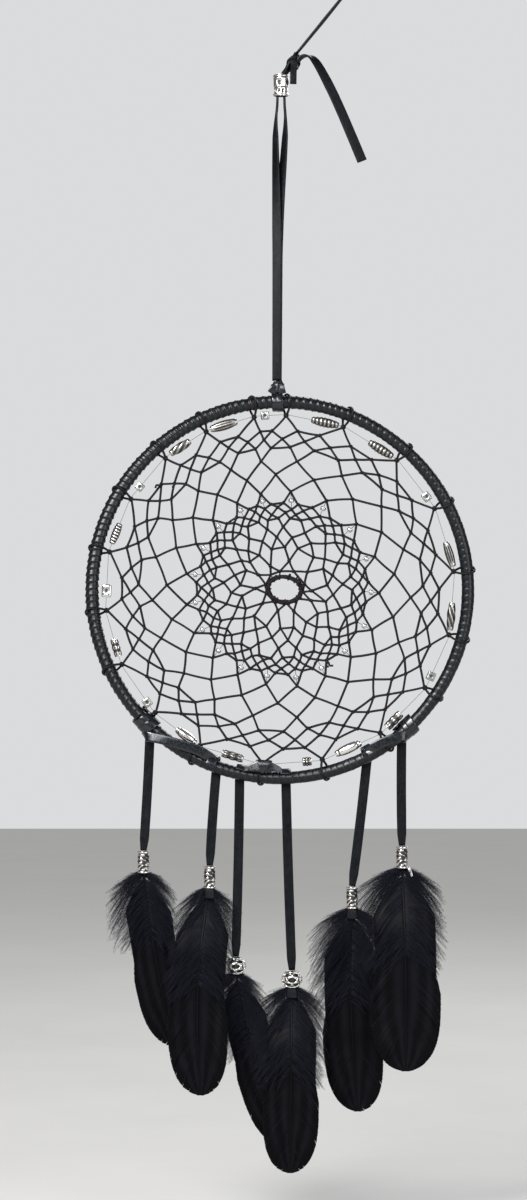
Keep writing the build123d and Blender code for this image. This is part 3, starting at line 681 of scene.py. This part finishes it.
# ---- Web ----
KNOT_RING = 87.0
KNOT_ANGLES = [88, 68.8, 48, 27.8, 6.1, -14.9, -34, -55, -76, -95.7, -117.2, -135.5, -154.8, -173.3,
               -192.6, -211.4, -229, -245, -261.5]
WEB_SHIFT, DRAG, DRAG_FROM, DRAG_INNER = (2.5, 1.5), 13.0, -20.0, 48.8
ROUNDS = [(79.6, "two"), (75.2, "one"), (71.0, "one"), (64.6, "odd"), (57.0, "one"), (48.8, "one"),
          (42.7, "two"), (40.2, "one"), (37.6, "one"), (34.9, "one"), (30.2, "odd"), (25.6, "one"),
          (21.4, "one"), (14.6, "even"), (10.3, "one")]
HITCH_SHARE, SEED_ROUND = 0.29, 6
EYE, EYE_CENTRE, EYE_BAND = (7.3, 5.4), (2.3, 0.3), 2.2  # half axes, centre, width of the winding


def web_point(radius, angle):
    """A place on the web, whose middle is shifted and a little flattened."""
    share = 1 - radius / KNOT_RING
    squash = 1 - 0.2 * min(max((25 - radius) / 15, 0), 1)
    x, z = radius * cos(radians(angle)), radius * sin(radians(angle))
    return x + WEB_SHIFT[0] * share, z * squash + WEB_SHIFT[1] * share


def web_net():
    """Knots, the cords between them by round, and each round's knots, as the CAD lays them out."""
    chance = Random(19)  # the CAD's own draws
    knots = [web_point(KNOT_RING, a) for a in KNOT_ANGLES]
    cords, rounds = [], [list(range(len(knots)))]
    angles, radius = [-a for a in KNOT_ANGLES], KNOT_RING
    for next_radius, hitching in ROUNDS:
        drag = DRAG * (min(radius, KNOT_RING) - max(next_radius, DRAG_INNER)) / (KNOT_RING - DRAG_INNER)
        jitter = 0.25 + 0.75 * (1 - next_radius / KNOT_RING)
        this, new, new_angles, loops = rounds[-1], [], [], []
        for j, a in enumerate(angles):
            b = angles[j + 1] if j + 1 < len(angles) else angles[0] + 360
            shares = {"one": [0.5], "two": [HITCH_SHARE, 1 - HITCH_SHARE],
                      "odd": [0.5] * (j % 2), "even": [0.5] * (1 - j % 2)}[hitching]
            stops = [this[j]]
            for share in shares:
                angle = a + (b - a) * share
                pulled = max(drag, 0) * (1 - cos(radians(-angle - DRAG_FROM))) / 2
                angle += chance.uniform(-1, 1) * jitter * 60 / next_radius - pulled
                away = next_radius + chance.uniform(-1, 1) * jitter * 0.9
                stops.append(len(knots))
                new.append(len(knots))
                new_angles.append(angle)
                knots.append(web_point(away, -angle))
            stops.append(this[(j + 1) % len(this)])
            loops += list(zip(stops, stops[1:]))
        cords.append(loops)
        rounds.append(new)
        angles, radius = new_angles, next_radius
    last = rounds[-1]
    cords.append(list(zip(last, last[1:] + last[:1])))
    return knots, cords, rounds


knots, cords, rounds = web_net()
chance = Random(7)
depth = [chance.uniform(-0.16, 0.16) for _ in knots]
run_of = {}
for level, loops in enumerate(cords):
    for a, b in loops:
        way = unit(np.array((knots[b][0] - knots[a][0], 0, knots[b][1] - knots[a][1])))
        run_of.setdefault(a, []).append(way)
        run_of.setdefault(b, []).append(way)


def place_of(knot):
    return np.array((knots[knot][0], depth[knot], knots[knot][1]))


def half_hitch(shape, knot):
    """A small turn of cord round the cord it holds."""
    ways = run_of[knot]
    along = unit(ways[0] + (ways[1] if np.dot(ways[0], ways[1]) > 0 else -ways[1]))
    out = np.cross(along, BACK)
    a = full_turn(11) + chance.uniform(0, 1)
    loop = oval(place_of(knot), 0.62 * out, 0.66 * BACK, a) + np.outer(0.32 * np.sin(a + 0.6), along)
    shape.closed(loop, along, CORD * 0.82, CORD * 0.78, 7)


def web_part(levels):
    """The cords of a few rounds, a little slack and uneven, with a half hitch at each knot."""
    shape = Shape()
    for level in levels:
        for a, b in cords[level]:
            p, q = place_of(a), place_of(b)
            slack = chance.uniform(-0.02, 0.02) * np.linalg.norm(q - p)
            side = unit(np.cross(q - p, BACK))
            middle = (p + q) / 2 + side * slack + BACK * chance.uniform(-0.22, 0.22)
            shape.cord([p, middle, q], CORD * chance.uniform(0.94, 1.06), 4)
        for knot in rounds[level]:
            half_hitch(shape, knot)
    return shape


LAST_ROUND = len(ROUNDS)
outer = web_part(range(0, 5))
inner = web_part(range(5, 10))
heart = web_part(range(10, LAST_ROUND + 1))
for knot in rounds[LAST_ROUND]:  # the knots round the eye have a second turn
    half_hitch(heart, knot)

# cut ends of cord that stick out of a few knots: web part, round, knot, direction in degrees, length
LOOSE_ENDS = [(outer, 1, 31, 200, 3.6), (outer, 2, 31, 250, 2.6), (inner, 7, 9, 310, 4.2),
              (inner, 7, 9, 275, 3.4), (inner, 8, 9, 235, 3.0)]
for shape, level, spot, angle, length in LOOSE_ENDS:
    x, z = knots[rounds[level][spot]]
    points = [(x, -0.5, z)]
    for share, bend in ((0.35, 0.15), (0.7, -0.1), (1.0, 0.25)):
        a = radians(angle) + bend
        points.append((x + length * share * cos(a), -0.7 - share * 0.6, z + length * share * sin(a)))
    shape.cord(points, CORD * 0.92, 5)

# cord hitches that hold the web on the hoop
HITCH_REACH, HITCH_RISE, HITCH_SPREAD = 3.8, 4.15, 1.15  # over the tube, up to it, in degrees to each side
PRESSED = -135.5  # the hitch that the left lace presses on
holds = Shape()
for number, angle in enumerate(KNOT_ANGLES):
    reach = HITCH_REACH - (0.25 if angle == PRESSED else 0)
    x, z = knots[number]
    loop = [(x, -0.3, z), on_tube(angle - HITCH_SPREAD * 0.7, -28, HITCH_RISE)]
    for share, turn in ((-1, -90), (-0.7, -140), (0, 180), (0.7, 140), (1, 90)):
        loop.append(on_tube(angle + HITCH_SPREAD * share, turn, reach))
    loop += [on_tube(angle + HITCH_SPREAD * 0.7, 28, HITCH_RISE), (x, 0.3, z)]
    holds.cord(loop, CORD, 6)
    out, side = spoke(angle), spoke(angle + 90)
    for lift, size in ((0.1, 0.95), (0.9, 0.85)):
        ring = oval((x, 0, z) + out * lift, size * side, 0.25 * out + 0.85 * size * BACK, full_turn(12))
        holds.closed(ring, out, CORD * 0.85, CORD * 0.8, 7)
holds.piece("web_hitch_cord", WAXED, "hoop", ["web_hitches"], "cord")

# the winding round the eye: turns of cord side by side, cross turns that bind them, and the finishing knot
eye = Shape()
EYE_TURNS, EYE_TIES, EYE_TILT = 16, 17, radians(8)
GOLDEN = 2.399  # the golden angle, which spreads the turns evenly


def round_the_eye(angle, grow, y):
    x, z = (EYE[0] + grow) * np.cos(angle), (EYE[1] + grow) * np.sin(angle)
    return np.stack([EYE_CENTRE[0] + x * cos(EYE_TILT) + z * sin(EYE_TILT), y + 0 * x,
                     EYE_CENTRE[1] - x * sin(EYE_TILT) + z * cos(EYE_TILT)], -1)


for i in range(EYE_TURNS):
    off = (EYE_BAND / 2 - 0.35) * ((i + 0.5) / EYE_TURNS) ** 0.5
    a = full_turn(72)
    wave = 0.30 * np.sin(a * chance.choice((2, 3, 5)) + chance.uniform(0, 6))
    grow = EYE_BAND / 2 - 0.1 + off * cos(i * GOLDEN) + wave
    eye.closed(round_the_eye(a, grow, off * sin(i * GOLDEN) + 0.25 * np.cos(a * 2 + i)), BACK, 0.46, 0.46, 8)
for i in range(EYE_TIES):
    a = i * 2 * pi / EYE_TIES + chance.uniform(-0.16, 0.16)
    t = full_turn(14)
    slant = 0.05 * np.sin(t + chance.uniform(0, 6))
    size = chance.uniform(1.05, 1.5)
    eye.closed(round_the_eye(a + slant, EYE_BAND / 2 + size * np.cos(t), size * np.sin(t)), (0.3, 0, 1),
               0.42, 0.40, 7)
for lift, size, tip in ((0.0, 1.7, 0.2), (0.9, 1.5, 1.1), (-0.7, 1.4, 2.0), (0.4, 1.1, 2.9)):
    a = full_turn(16)
    x, y, z = size * np.cos(a), size * 0.7 * np.sin(a), size * 0.35 * np.cos(2 * a)
    turned = np.stack([x * cos(tip) - z * sin(tip), y - 0.4, x * sin(tip) + z * cos(tip)], -1)
    eye.closed(turned + (8.9, lift * 0.5, 4.4 + lift), (0, 1, 0.1), 0.55, 0.5, 8)
eye.piece("eye_winding", WAXED, "hoop", ["centre_winding"], "cord")

outer.piece("web_outer", WAXED, "hoop", ["web_cord"], "cord")
inner.piece("web_inner", WAXED, "hoop", [], "cord")
heart.piece("web_heart", WAXED, "hoop", [], "cord")

# ---- Seed beads and threads ----
THREAD, FINE_THREAD, THREAD_RING = 0.13, 0.09, 87.8  # radii of the threads, and where the rim's thread runs
seeds, threads = Shape(), Shape()
for above, below in zip(rounds[SEED_ROUND], rounds[SEED_ROUND + 2][-1:] + rounds[SEED_ROUND + 2][1:-1:2]):
    p, q = place_of(above), place_of(below)
    threads.cord([p, (p + q) / 2, q], THREAD, 2, 6)
    centre, way = (p + q) / 2, unit(q - p)
    side = unit(np.cross(way, BACK))
    t, a = full_turn(14), full_turn(18)
    r = 0.92 + 0.52 * np.cos(t)
    rings = (centre + way * (1.05 * np.sin(t))[:, None, None] + oval((0, 0, 0), side, BACK, a) * r[:, None, None])
    seeds.rings(HOOP + rings * MM, loop=True)
for a, b in zip(KNOT_ANGLES, KNOT_ANGLES[1:] + [KNOT_ANGLES[0] - 360]):
    p, q = THREAD_RING * spoke(a), THREAD_RING * spoke(b)
    threads.cord([p, (p + q) / 2, q], FINE_THREAD, 5, 6)
seeds.piece("seed_bead_group", SEED, "hoop", ["seed_beads"], "seed")
threads.piece("bead_thread_lines", WAXED, "hoop", ["bead_threads"], "cord")


# ---- Metal beads ----
def turned_bead(shape, centre, way, length, radius, bore, relief, steps, count):
    """A bead round an axis. relief gives, for the share along and the angle round, the share of the radius
    and how deep that place lies, from 0 on the polished crests to 1 in the hollows."""
    way = unit(np.array(way, float))
    side = unit(np.cross(way, (0.0, 1.0, 0.02)))
    other = np.cross(way, side)
    a, u = np.meshgrid(np.arange(count) * 2 * pi / count, np.linspace(0, 1, steps))
    share, deep = relief(u, a)
    lip = np.ones((1, count))
    r = np.vstack([lip * bore, radius * share, lip * bore])
    along = np.vstack([0 * lip, u, lip])
    rings = (np.array(centre) + way * (length * (along - 0.5))[..., None]
             + side * (r * np.cos(a[0]))[..., None] + other * (r * np.sin(a[0]))[..., None])
    shape.rings(HOOP + rings * MM, np.vstack([lip * 0.8, deep, lip * 0.8]), loop=True)


def bump_at(u, place, width):
    """1 in a narrow band that far from the middle at both ends, and 0 elsewhere."""
    return np.exp(-((abs(u - 0.5) - place) / width) ** 2)


def spindle_relief(style, tip):
    """A spindle, with its ends that share of its middle's radius."""
    def relief(u, a):
        body = tip + (1 - tip) * np.sin(pi * np.clip(u, 0.02, 0.98)) ** 0.62
        if style == 0:  # lengthways flutes between two collars
            cut = (0.5 + 0.5 * np.cos(a * 10)) * np.clip(np.sin(pi * u) * 3 - 1, 0, 1)
        elif style == 1:  # rings all the way along
            cut = 0.5 + 0.5 * np.cos(u * 2 * pi * 7)
        elif style == 2:  # a twisted rope pattern
            cut = (0.5 + 0.5 * np.cos(a * 5 + u * 16)) * np.clip(np.sin(pi * u) * 4 - 0.8, 0, 1)
        else:  # nearly plain, with a groove at each end
            cut = bump_at(u, 0.36, 0.02)
        collar = bump_at(u, 0.43, 0.025)
        deep = np.clip(cut * 1.05 - collar, 0, 1)
        return body * (1 - 0.13 * deep) + 0.04 * collar, deep
    return relief


def barrel_relief(u, a):
    """A barrel with rows of raised dots."""
    body = 0.84 + 0.16 * np.sin(pi * u) ** 0.8
    dots = (0.5 + 0.5 * np.cos(a * 8)) * (0.5 + 0.5 * np.cos((u - 0.5) * 2 * pi * 3))
    deep = np.clip(1 - 1.6 * dots, 0, 1) * (abs(u - 0.5) < 0.44)
    return body * (1 - 0.12 * deep), deep


def cube_relief(u, a):
    """A square bead with a sunken dot on each face."""
    square = 1 / np.maximum(abs(np.cos(a)), abs(np.sin(a))) ** 0.82
    edge = 1 - 0.16 * np.clip((abs(u - 0.5) - 0.38) / 0.12, 0, 1) ** 1.5
    near = ((u - 0.5) / 0.26) ** 2 + ((((a / (pi / 2)) + 0.5) % 1 - 0.5) / 0.3) ** 2
    rim = np.exp(-((near - 1.0) / 0.45) ** 2)
    deep = np.clip(1.1 - near, 0, 1) * 0.9
    return square * edge * (1 - 0.14 * deep + 0.02 * rim), deep


# kind, (length, width) and, for a spindle, style of each rim bead
RIM_KINDS = "cub spn spn cub spn cub bar cub spn bar bar spn bar cub spn spn cub spn spn".split()
RIM_SIZES = [(4.2, 4.2), (14.0, 5.2), (12.0, 4.8), (4.0, 4.0), (11.0, 4.4), (6.4, 5.0), (9.0, 4.2), (4.4, 4.4),
             (12.0, 5.0), (11.0, 4.4), (4.6, 4.6), (14.0, 4.9), (10.0, 4.6), (4.4, 4.4), (14.0, 4.4),
             (13.0, 4.4), (4.4, 4.4), (14.0, 5.2), (14.0, 5.2)]
RIM_STYLES = [0, 0, 2, 0, 1, 0, 0, 0, 3, 0, 0, 3, 0, 0, 2, 0, 0, 1, 1]
PALE = {5, 6, 7, 9}  # the beads that are polished brighter
for number, (kind, (length, width), style) in enumerate(zip(RIM_KINDS, RIM_SIZES, RIM_STYLES), 1):
    node = f"rim_bead_{number:02d}"
    radius = width / 2 * (0.96 if kind == "cub" else 1)
    relief, steps, count = {"cub": (cube_relief, 24, 32), "bar": (barrel_relief, 36, 40),
                            "spn": (spindle_relief(style, 1.15 / (width / 2)), 60, 40)}[kind]
    bead = Shape()
    turned_bead(bead, sum(box_mm(node)) / 2, JOINTS[node + "_slide"]["axis"], length, radius, THREAD_BORE,
                relief, steps, count)
    bead.piece(f"rim_bead_silver_{number:02d}", SILVER if number in PALE or style == 3 else DULL_SILVER, node,
               [node], "silver")


def filigree_ball(shape, centre, radius, height):
    """Wire rings in rows on a flattened ball, between two collars."""
    def skin(share, angle, proud=0.0):
        r = (radius - 0.35) * (0.52 + 0.48 * np.sin(pi * np.clip(share, 0, 1)) ** 0.75) + proud
        return np.stack([centre[0] + r * np.cos(angle), centre[1] + r * np.sin(angle),
                         centre[2] + height * (share - 0.5)], -1)

    a, number = full_turn(18), 6
    for share, size, shift in ((0.21, 0.125, 0.0), (0.5, 0.18, 0.5), (0.79, 0.125, 0.0)):
        for i in range(number):
            turn = (i + shift) * 2 * pi / number
            ring = skin(share + size * np.sin(a), turn + pi / number * 0.92 * np.cos(a))
            shape.closed(ring, unit(skin(share, turn) - np.array(centre)), 0.27, 0.30, 7)
    for share in (0.03, 0.97):
        shape.closed(skin(np.full(40, share), full_turn(40), 0.1), UP, 0.26, 0.30, 7)


def shade_fill_relief(u, a):
    """A plain near-black body inside a filigree ball: painted shade, seen through the ball's wires."""
    return 0.65 + 0.35 * np.sin(pi * u) ** 0.75, np.ones_like(u)


def tube_relief(u, a):
    """Scrolls between two plain rims, sunk a little and given painted shade, as if cut through."""
    swirl = np.cos(3 * a + 2.4 * np.sin(2 * pi * u * 1.5)) * np.cos(2 * pi * u * 2.5 + 1.5 * np.cos(2 * a))
    fine = np.cos(6 * a - 2 * pi * u * 3)
    cut = np.clip(0.5 - 1.5 * swirl - 0.25 * fine, 0, 1)
    rim = (abs(u - 0.5) > 0.42) * 1.0
    groove = bump_at(u, 0.405, 0.018)
    deep = np.clip(cut * (1 - rim) + groove, 0, 1)
    return 0.97 - 0.15 * deep + 0.03 * rim, deep


TUBE_BEAD, BALL_BEAD = (3.1, 10.6), (5.4, 8.0)  # radius and height
for number, (_, end) in enumerate(STRAPS, 1):
    bead, body = Shape(), f"feather_{number}"
    radius, height = BALL_BEAD if number in (3, 4) else TUBE_BEAD
    centre = (end[0], STRAP_Y, end[1] - GAP - height / 2)
    if number in (3, 4):
        filigree_ball(bead, centre, radius, height)
        # a near-black body fills the ball, as painted shade for its hollow inside
        inside = Shape()
        turned_bead(inside, centre, UP, height - 0.6, radius - 1.7, LACE_BORE, shade_fill_relief, 20, 28)
        inside.piece(f"pendant_shade_fill_{number}", SHADE_FILL, body, [], "silver")
    else:
        turned_bead(bead, centre, UP, height, radius, LACE_BORE, tube_relief, 84, 84)
    bead.piece(f"pendant_silver_{number}", SILVER, body, [f"pendant_bead_{number}"], "silver")


def hanger_relief(u, a):
    """A lantern: windows in curled frames over a band of short pillars; windows and pillars are sunk a little and
    given painted shade, as if pierced.
    """
    fifth = ((a + 0.5) / (2 * pi / 5)) % 1 - 0.5
    near = ((u - 0.64) / 0.19) ** 2 + (fifth / 0.30) ** 2
    window = np.clip(1.25 - near, 0, 1)
    curl = np.exp(-((near - 0.30) / 0.12) ** 2) * (np.sin(a * 5 + u * 9) > 0)
    pillars = np.clip(0.5 + 0.9 * np.cos(10 * a), 0, 1) * np.exp(-((u - 0.24) / 0.075) ** 4)
    groove = np.exp(-((u - 0.41) / 0.018) ** 2) + np.exp(-((u - 0.90) / 0.018) ** 2)
    deep = np.clip(window * (1 - 0.8 * curl) + pillars + groove, 0, 1)
    body = 0.90 + 0.09 * np.sin(pi * np.clip((u - 0.35) / 0.65, 0, 1))
    return body - 0.15 * deep, deep


HANGER_X, HANGER_Z, HANGER_HEIGHT, COLLAR = 0.5, 252.2, 10.6, 3.62
crown_bead = Shape()
turned_bead(crown_bead, (HANGER_X, 0, HANGER_Z), UP, HANGER_HEIGHT, 3.9, HANGER_BORE, hanger_relief, 84, 84)
for share in (0.06, 0.94):
    centre = (HANGER_X, 0, HANGER_Z + HANGER_HEIGHT * (share - 0.5))
    crown_bead.closed(oval(centre, (COLLAR, 0, 0), (0, COLLAR, 0), full_turn(48)), UP, 0.42, 0.36, 8)
crown_bead.piece("hanger_silver", SILVER, "hanger_bead", ["hanger_bead"], "silver")


# ---- Feathers ----
class Plume:
    """One feather: its shaft's line and its outline, from its CAD node's box."""

    def __init__(self, number, width, lean, bow, front):
        low, high = box_mm(f"feather_{number}")
        self.x, self.top, self.length = STRAPS[number - 1][1][0], high[2], high[2] - low[2]
        self.lean, self.bow, self.width = lean, bow, width
        self.depth = low[1] + 1 if front else high[1] - 1

    def shaft(self, share):
        """The shaft's line, which leaves the bead's axis for the feather's own depth."""
        share = np.asarray(share, float)
        drop = share * self.length
        ease = np.clip((drop - 9) / 30, 0, 1)
        ease = ease * ease * (3 - 2 * ease)
        return np.stack([self.x + self.lean * np.clip(share, 0, None) ** 1.4 + self.bow * np.sin(pi * share),
                         STRAP_Y + (self.depth - STRAP_Y) * ease, self.top - drop], -1)

    def half(self, share):
        """Half the vane's width."""
        t = np.clip((np.asarray(share, float) - 0.08) / 0.92, 0.0, 0.999)
        return ((self.width / 2 - 0.6) * np.minimum(1, t / 0.20) ** 0.5
                * np.sqrt(1 - np.clip((t - 0.60) / 0.40, 0, 1) ** 3.5))


VANE_START, DOWN_START, DOWN_TOP = 0.075, 0.03, 0.045  # shares of the shaft: first barbs, roots and ends of down
BARB_PITCH, STRAND, BARBULE = 0.42, 0.10, 0.06


def vane(shape, plume, side, rng):
    """One side of the vane: barbs that leave the shaft and curve towards the tip, in groups that part."""
    barbs = int(plume.length * (1 - VANE_START) / BARB_PITCH)
    columns = np.linspace(0, 1, 11)
    first = 0
    while first < barbs:
        group = min(int(rng.integers(14, 46)), barbs - first)
        if barbs - first - group < 8:
            group = barbs - first
        rows = np.arange(group * 2 + 1) / 2 + first
        root = VANE_START + (1 - VANE_START) * rows / barbs
        reach = np.minimum(0.18, (1 - root) * 0.80 + 0.001)
        core = np.clip(0.88 + (root - 0.36) * 1.2, 0.88, 1)  # a little narrower under the down
        width = plume.half(np.clip(root + reach, 0, 0.998)) * core
        parting = rng.uniform(0.1, 1.0) * 0.55
        inside = (rows - rows[0]) / max(rows[-1] - rows[0], 1)
        q = columns[None]
        along = root[:, None] + reach[:, None] * q ** 1.35
        along = along - (inside[:, None] - 0.5) * parting / plume.length * q ** 2
        lateral = width[:, None] * (q + 0.16 * q * (1 - q)) * (1 - 0.02 * rng.random((len(rows), 1)))
        camber = 1.5 * (lateral / (plume.width / 2)) ** 2
        ripple = 0.35 * np.sin(root[:, None] * 17 + side) * q + rng.uniform(-0.12, 0.12)
        ridge = 0.055 * np.where(np.arange(len(rows)) % 2 == 0, 1, -1)[:, None] * np.sin(pi * np.clip(q, 0.05, 1))
        line = plume.shaft(along)
        thick = 0.30 - 0.18 * q + 0 * along
        x, y = line[..., 0] + side * (lateral - 0.25), line[..., 1] + camber + ripple - ridge
        front, back = [np.stack([x, y + half, line[..., 2]], -1) for half in (-thick / 2, thick / 2)]
        shape.rings(HOOP + np.concatenate([front, back[:, ::-1]], axis=1) * MM)
        first += group


def strand_of_down(shape, path, rng, fine, space, reach):
    """A soft barb: a thin tapering strand with finer ones on both sides."""
    shape.sweep(path, BACK, outline(STRAND, STRAND, 2, 3), np.linspace(1, 0.25, len(path)))
    run = np.append(0, np.cumsum(np.linalg.norm(np.diff(path, axis=0), axis=1)))
    count = int(run[-1] / space)
    if count < 2:
        return
    where = np.linspace(0.12, 0.99, count) * run[-1]
    root = np.stack([np.interp(where, run, path[:, i]) for i in range(3)], -1)
    ahead = unit(np.stack([np.interp(where, run, np.gradient(path[:, i])) for i in range(3)], -1))
    for sign in (-1, 1):
        spread = rng.normal(size=(count, 3)) * 0.45
        way = unit(ahead * 0.75 + unit(np.cross(ahead, BACK)) * sign + spread)
        size = reach * rng.uniform(0.5, 1.0, (count, 1)) * (1 - 0.45 * (where / run[-1])[:, None])
        fine.append((root, way, size))


def add_fine(shape, fine):
    """Every fine barbule as a thin closed spike."""
    root, way, size = [np.vstack([f[i] for f in fine]) for i in range(3)]
    spare = unit(np.cross(way, np.array((0.31, 0.22, 0.93))))
    other = np.cross(way, spare)
    corners = [root + BARBULE * (spare * cos(t) + other * sin(t)) for t in (0.0, 2 * pi / 3, 4 * pi / 3)]
    points = np.stack(corners + [root + way * size], 1)
    start = shape.add(HOOP + points * MM, 0.0)
    base = start + 4 * np.arange(len(root))[:, None]
    for order in ((0, 1, 3), (1, 2, 3), (2, 0, 3), (0, 2, 1)):
        shape.faces.append(base + np.array(order)[None])
        shape.lay.append(np.zeros((len(root), 3, 2)))


def down(shape, plume, rng, count, stop, spread):
    """Fluff over the upper vane: every strand ends somewhere in the fluff's rounded outline, or as a wisp a
    little past it, and starts above that on the shaft."""
    fine = []
    for i in range(count):
        end = DOWN_TOP + (stop - DOWN_TOP) * ((i + rng.random()) / count) ** 0.95
        side = 1 if i % 2 else -1
        wisp = i % 6 == 0
        edge = (plume.width / 2 + 1.0) * np.clip((end - 0.015) / 0.12, 0.1, 1) ** 0.65
        fade = np.clip((stop - end) / 0.10, 0.3, 1)
        out = edge * (rng.uniform(1.06, 1.24) if wisp else rng.uniform(0.25, 1.08) ** 0.7) * spread
        out = out * (0.80 + 0.20 * fade)
        fall = radians(rng.uniform(30, 62))
        share = max(DOWN_START + rng.uniform(0, 0.03), end - out * sin(fall) / cos(fall) / plume.length)
        drop = (end - share) * plume.length
        nearer = 0.25 if plume.depth < STRAP_Y else -0.05  # fuller on the front where that is seen
        layer = rng.uniform(-1, 1) - nearer
        start = plume.shaft(share) + (0, rng.uniform(-0.5, 0.5), 0)
        t = np.linspace(0, 1, 7)[:, None]
        path = start + t * np.array((side * out * 1.06, layer * 3.4, -drop * 0.62))
        path = path + t ** 2 * np.array((-side * out * 0.06 + rng.uniform(-0.8, 0.8), layer * 1.0,
                                         -drop * 0.38 - rng.uniform(0, 2.5)))
        path[:, 0] += 0.35 * np.sin(t[:, 0] * rng.uniform(5, 9) + rng.uniform(0, 6)) * t[:, 0]
        strand_of_down(shape, path, rng, fine, *((0.9, 1.4) if wisp else (0.72, 2.1)))
    add_fine(shape, fine)


FEATHER_SEED = 40
# width, lean of the tip, sideways bow, whether it hangs in front, strands of down, where they stop, spread
PLUMES = [(28, 15, 0, False, 700, 0.48, 1.02), (32, -4.5, -4.0, True, 800, 0.56, 0.92),
          (27, 24, 0.5, False, 680, 0.54, 1.02), (30, -1, 0, True, 760, 0.56, 1.08),
          (32, 3, -1.5, False, 800, 0.54, 1.06), (37, 1.5, 1.0, True, 860, 0.53, 1.04)]
for number, (width, lean, bow, in_front, strands, stop, spread) in enumerate(PLUMES, 1):
    rng = np.random.default_rng(FEATHER_SEED + number)
    plume = Plume(number, width, lean, bow, in_front)
    body = f"feather_{number}"
    blade = Shape()
    for side in (-1, 1):
        vane(blade, plume, side, rng)
    blade.piece(f"feather_vane_{number}", VANE, body, [body], "feather")
    fluff = Shape()
    down(fluff, plume, rng, strands, stop, spread)
    fluff.piece(f"feather_down_{number}", DOWN, body, [], "feather")
    quill = Shape()
    share = np.linspace(0, 0.97, 60)
    thin = np.interp(share, [0, 0.08, 0.5, 1], [1.0, 0.9, 0.5, 0.2])
    quill.sweep(plume.shaft(share) + (0, -0.12, 0), (1, 0, 0), outline(0.85, 0.75, 2, 10), thin)
    quill.piece(f"feather_quill_{number}", QUILL, body, [], "feather")

# the cut ends of three pendant laces, below their beads
for number in (2, 4, 5):
    low, high = box_mm(f"strap_end_{number}")
    x, y = ((low + high) / 2)[:2]
    tab = Shape()
    tab.lace([(x, y + 0.5, high[2] + 0.8), (x, y + 0.1, high[2] - 1.5), (x - 0.1, y - 0.1, low[2] + 0.2)],
             [(1, 0.1, 0), (1, -0.05, 0), (1, -0.15, 0.03)], 4.9, 1.1,
             scale=np.interp(np.arange(17), [0, 5, 16], [0.72, 0.92, 1.15]))
    tab.piece(f"strap_end_lace_{number}", LEATHER, f"feather_{number}", [f"strap_end_{number}"], "lace")

# the quill of the right-hand feather shows its pale tip beside the bead
tip = Shape()
tip.sweep(curve_through([(64.0, 3.6, -139.2), (65.2, 3.2, -140.6), (66.2, 2.9, -143.6)], 6), (0, 1, 0),
          outline(0.95, 0.95, 2, 12), np.interp(np.arange(13), [0, 3, 12], [0.5, 1, 0.8]))
tip.piece("quill_tip_6", SILVER, "feather_6", [], "silver")

size = [list(corner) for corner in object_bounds()]
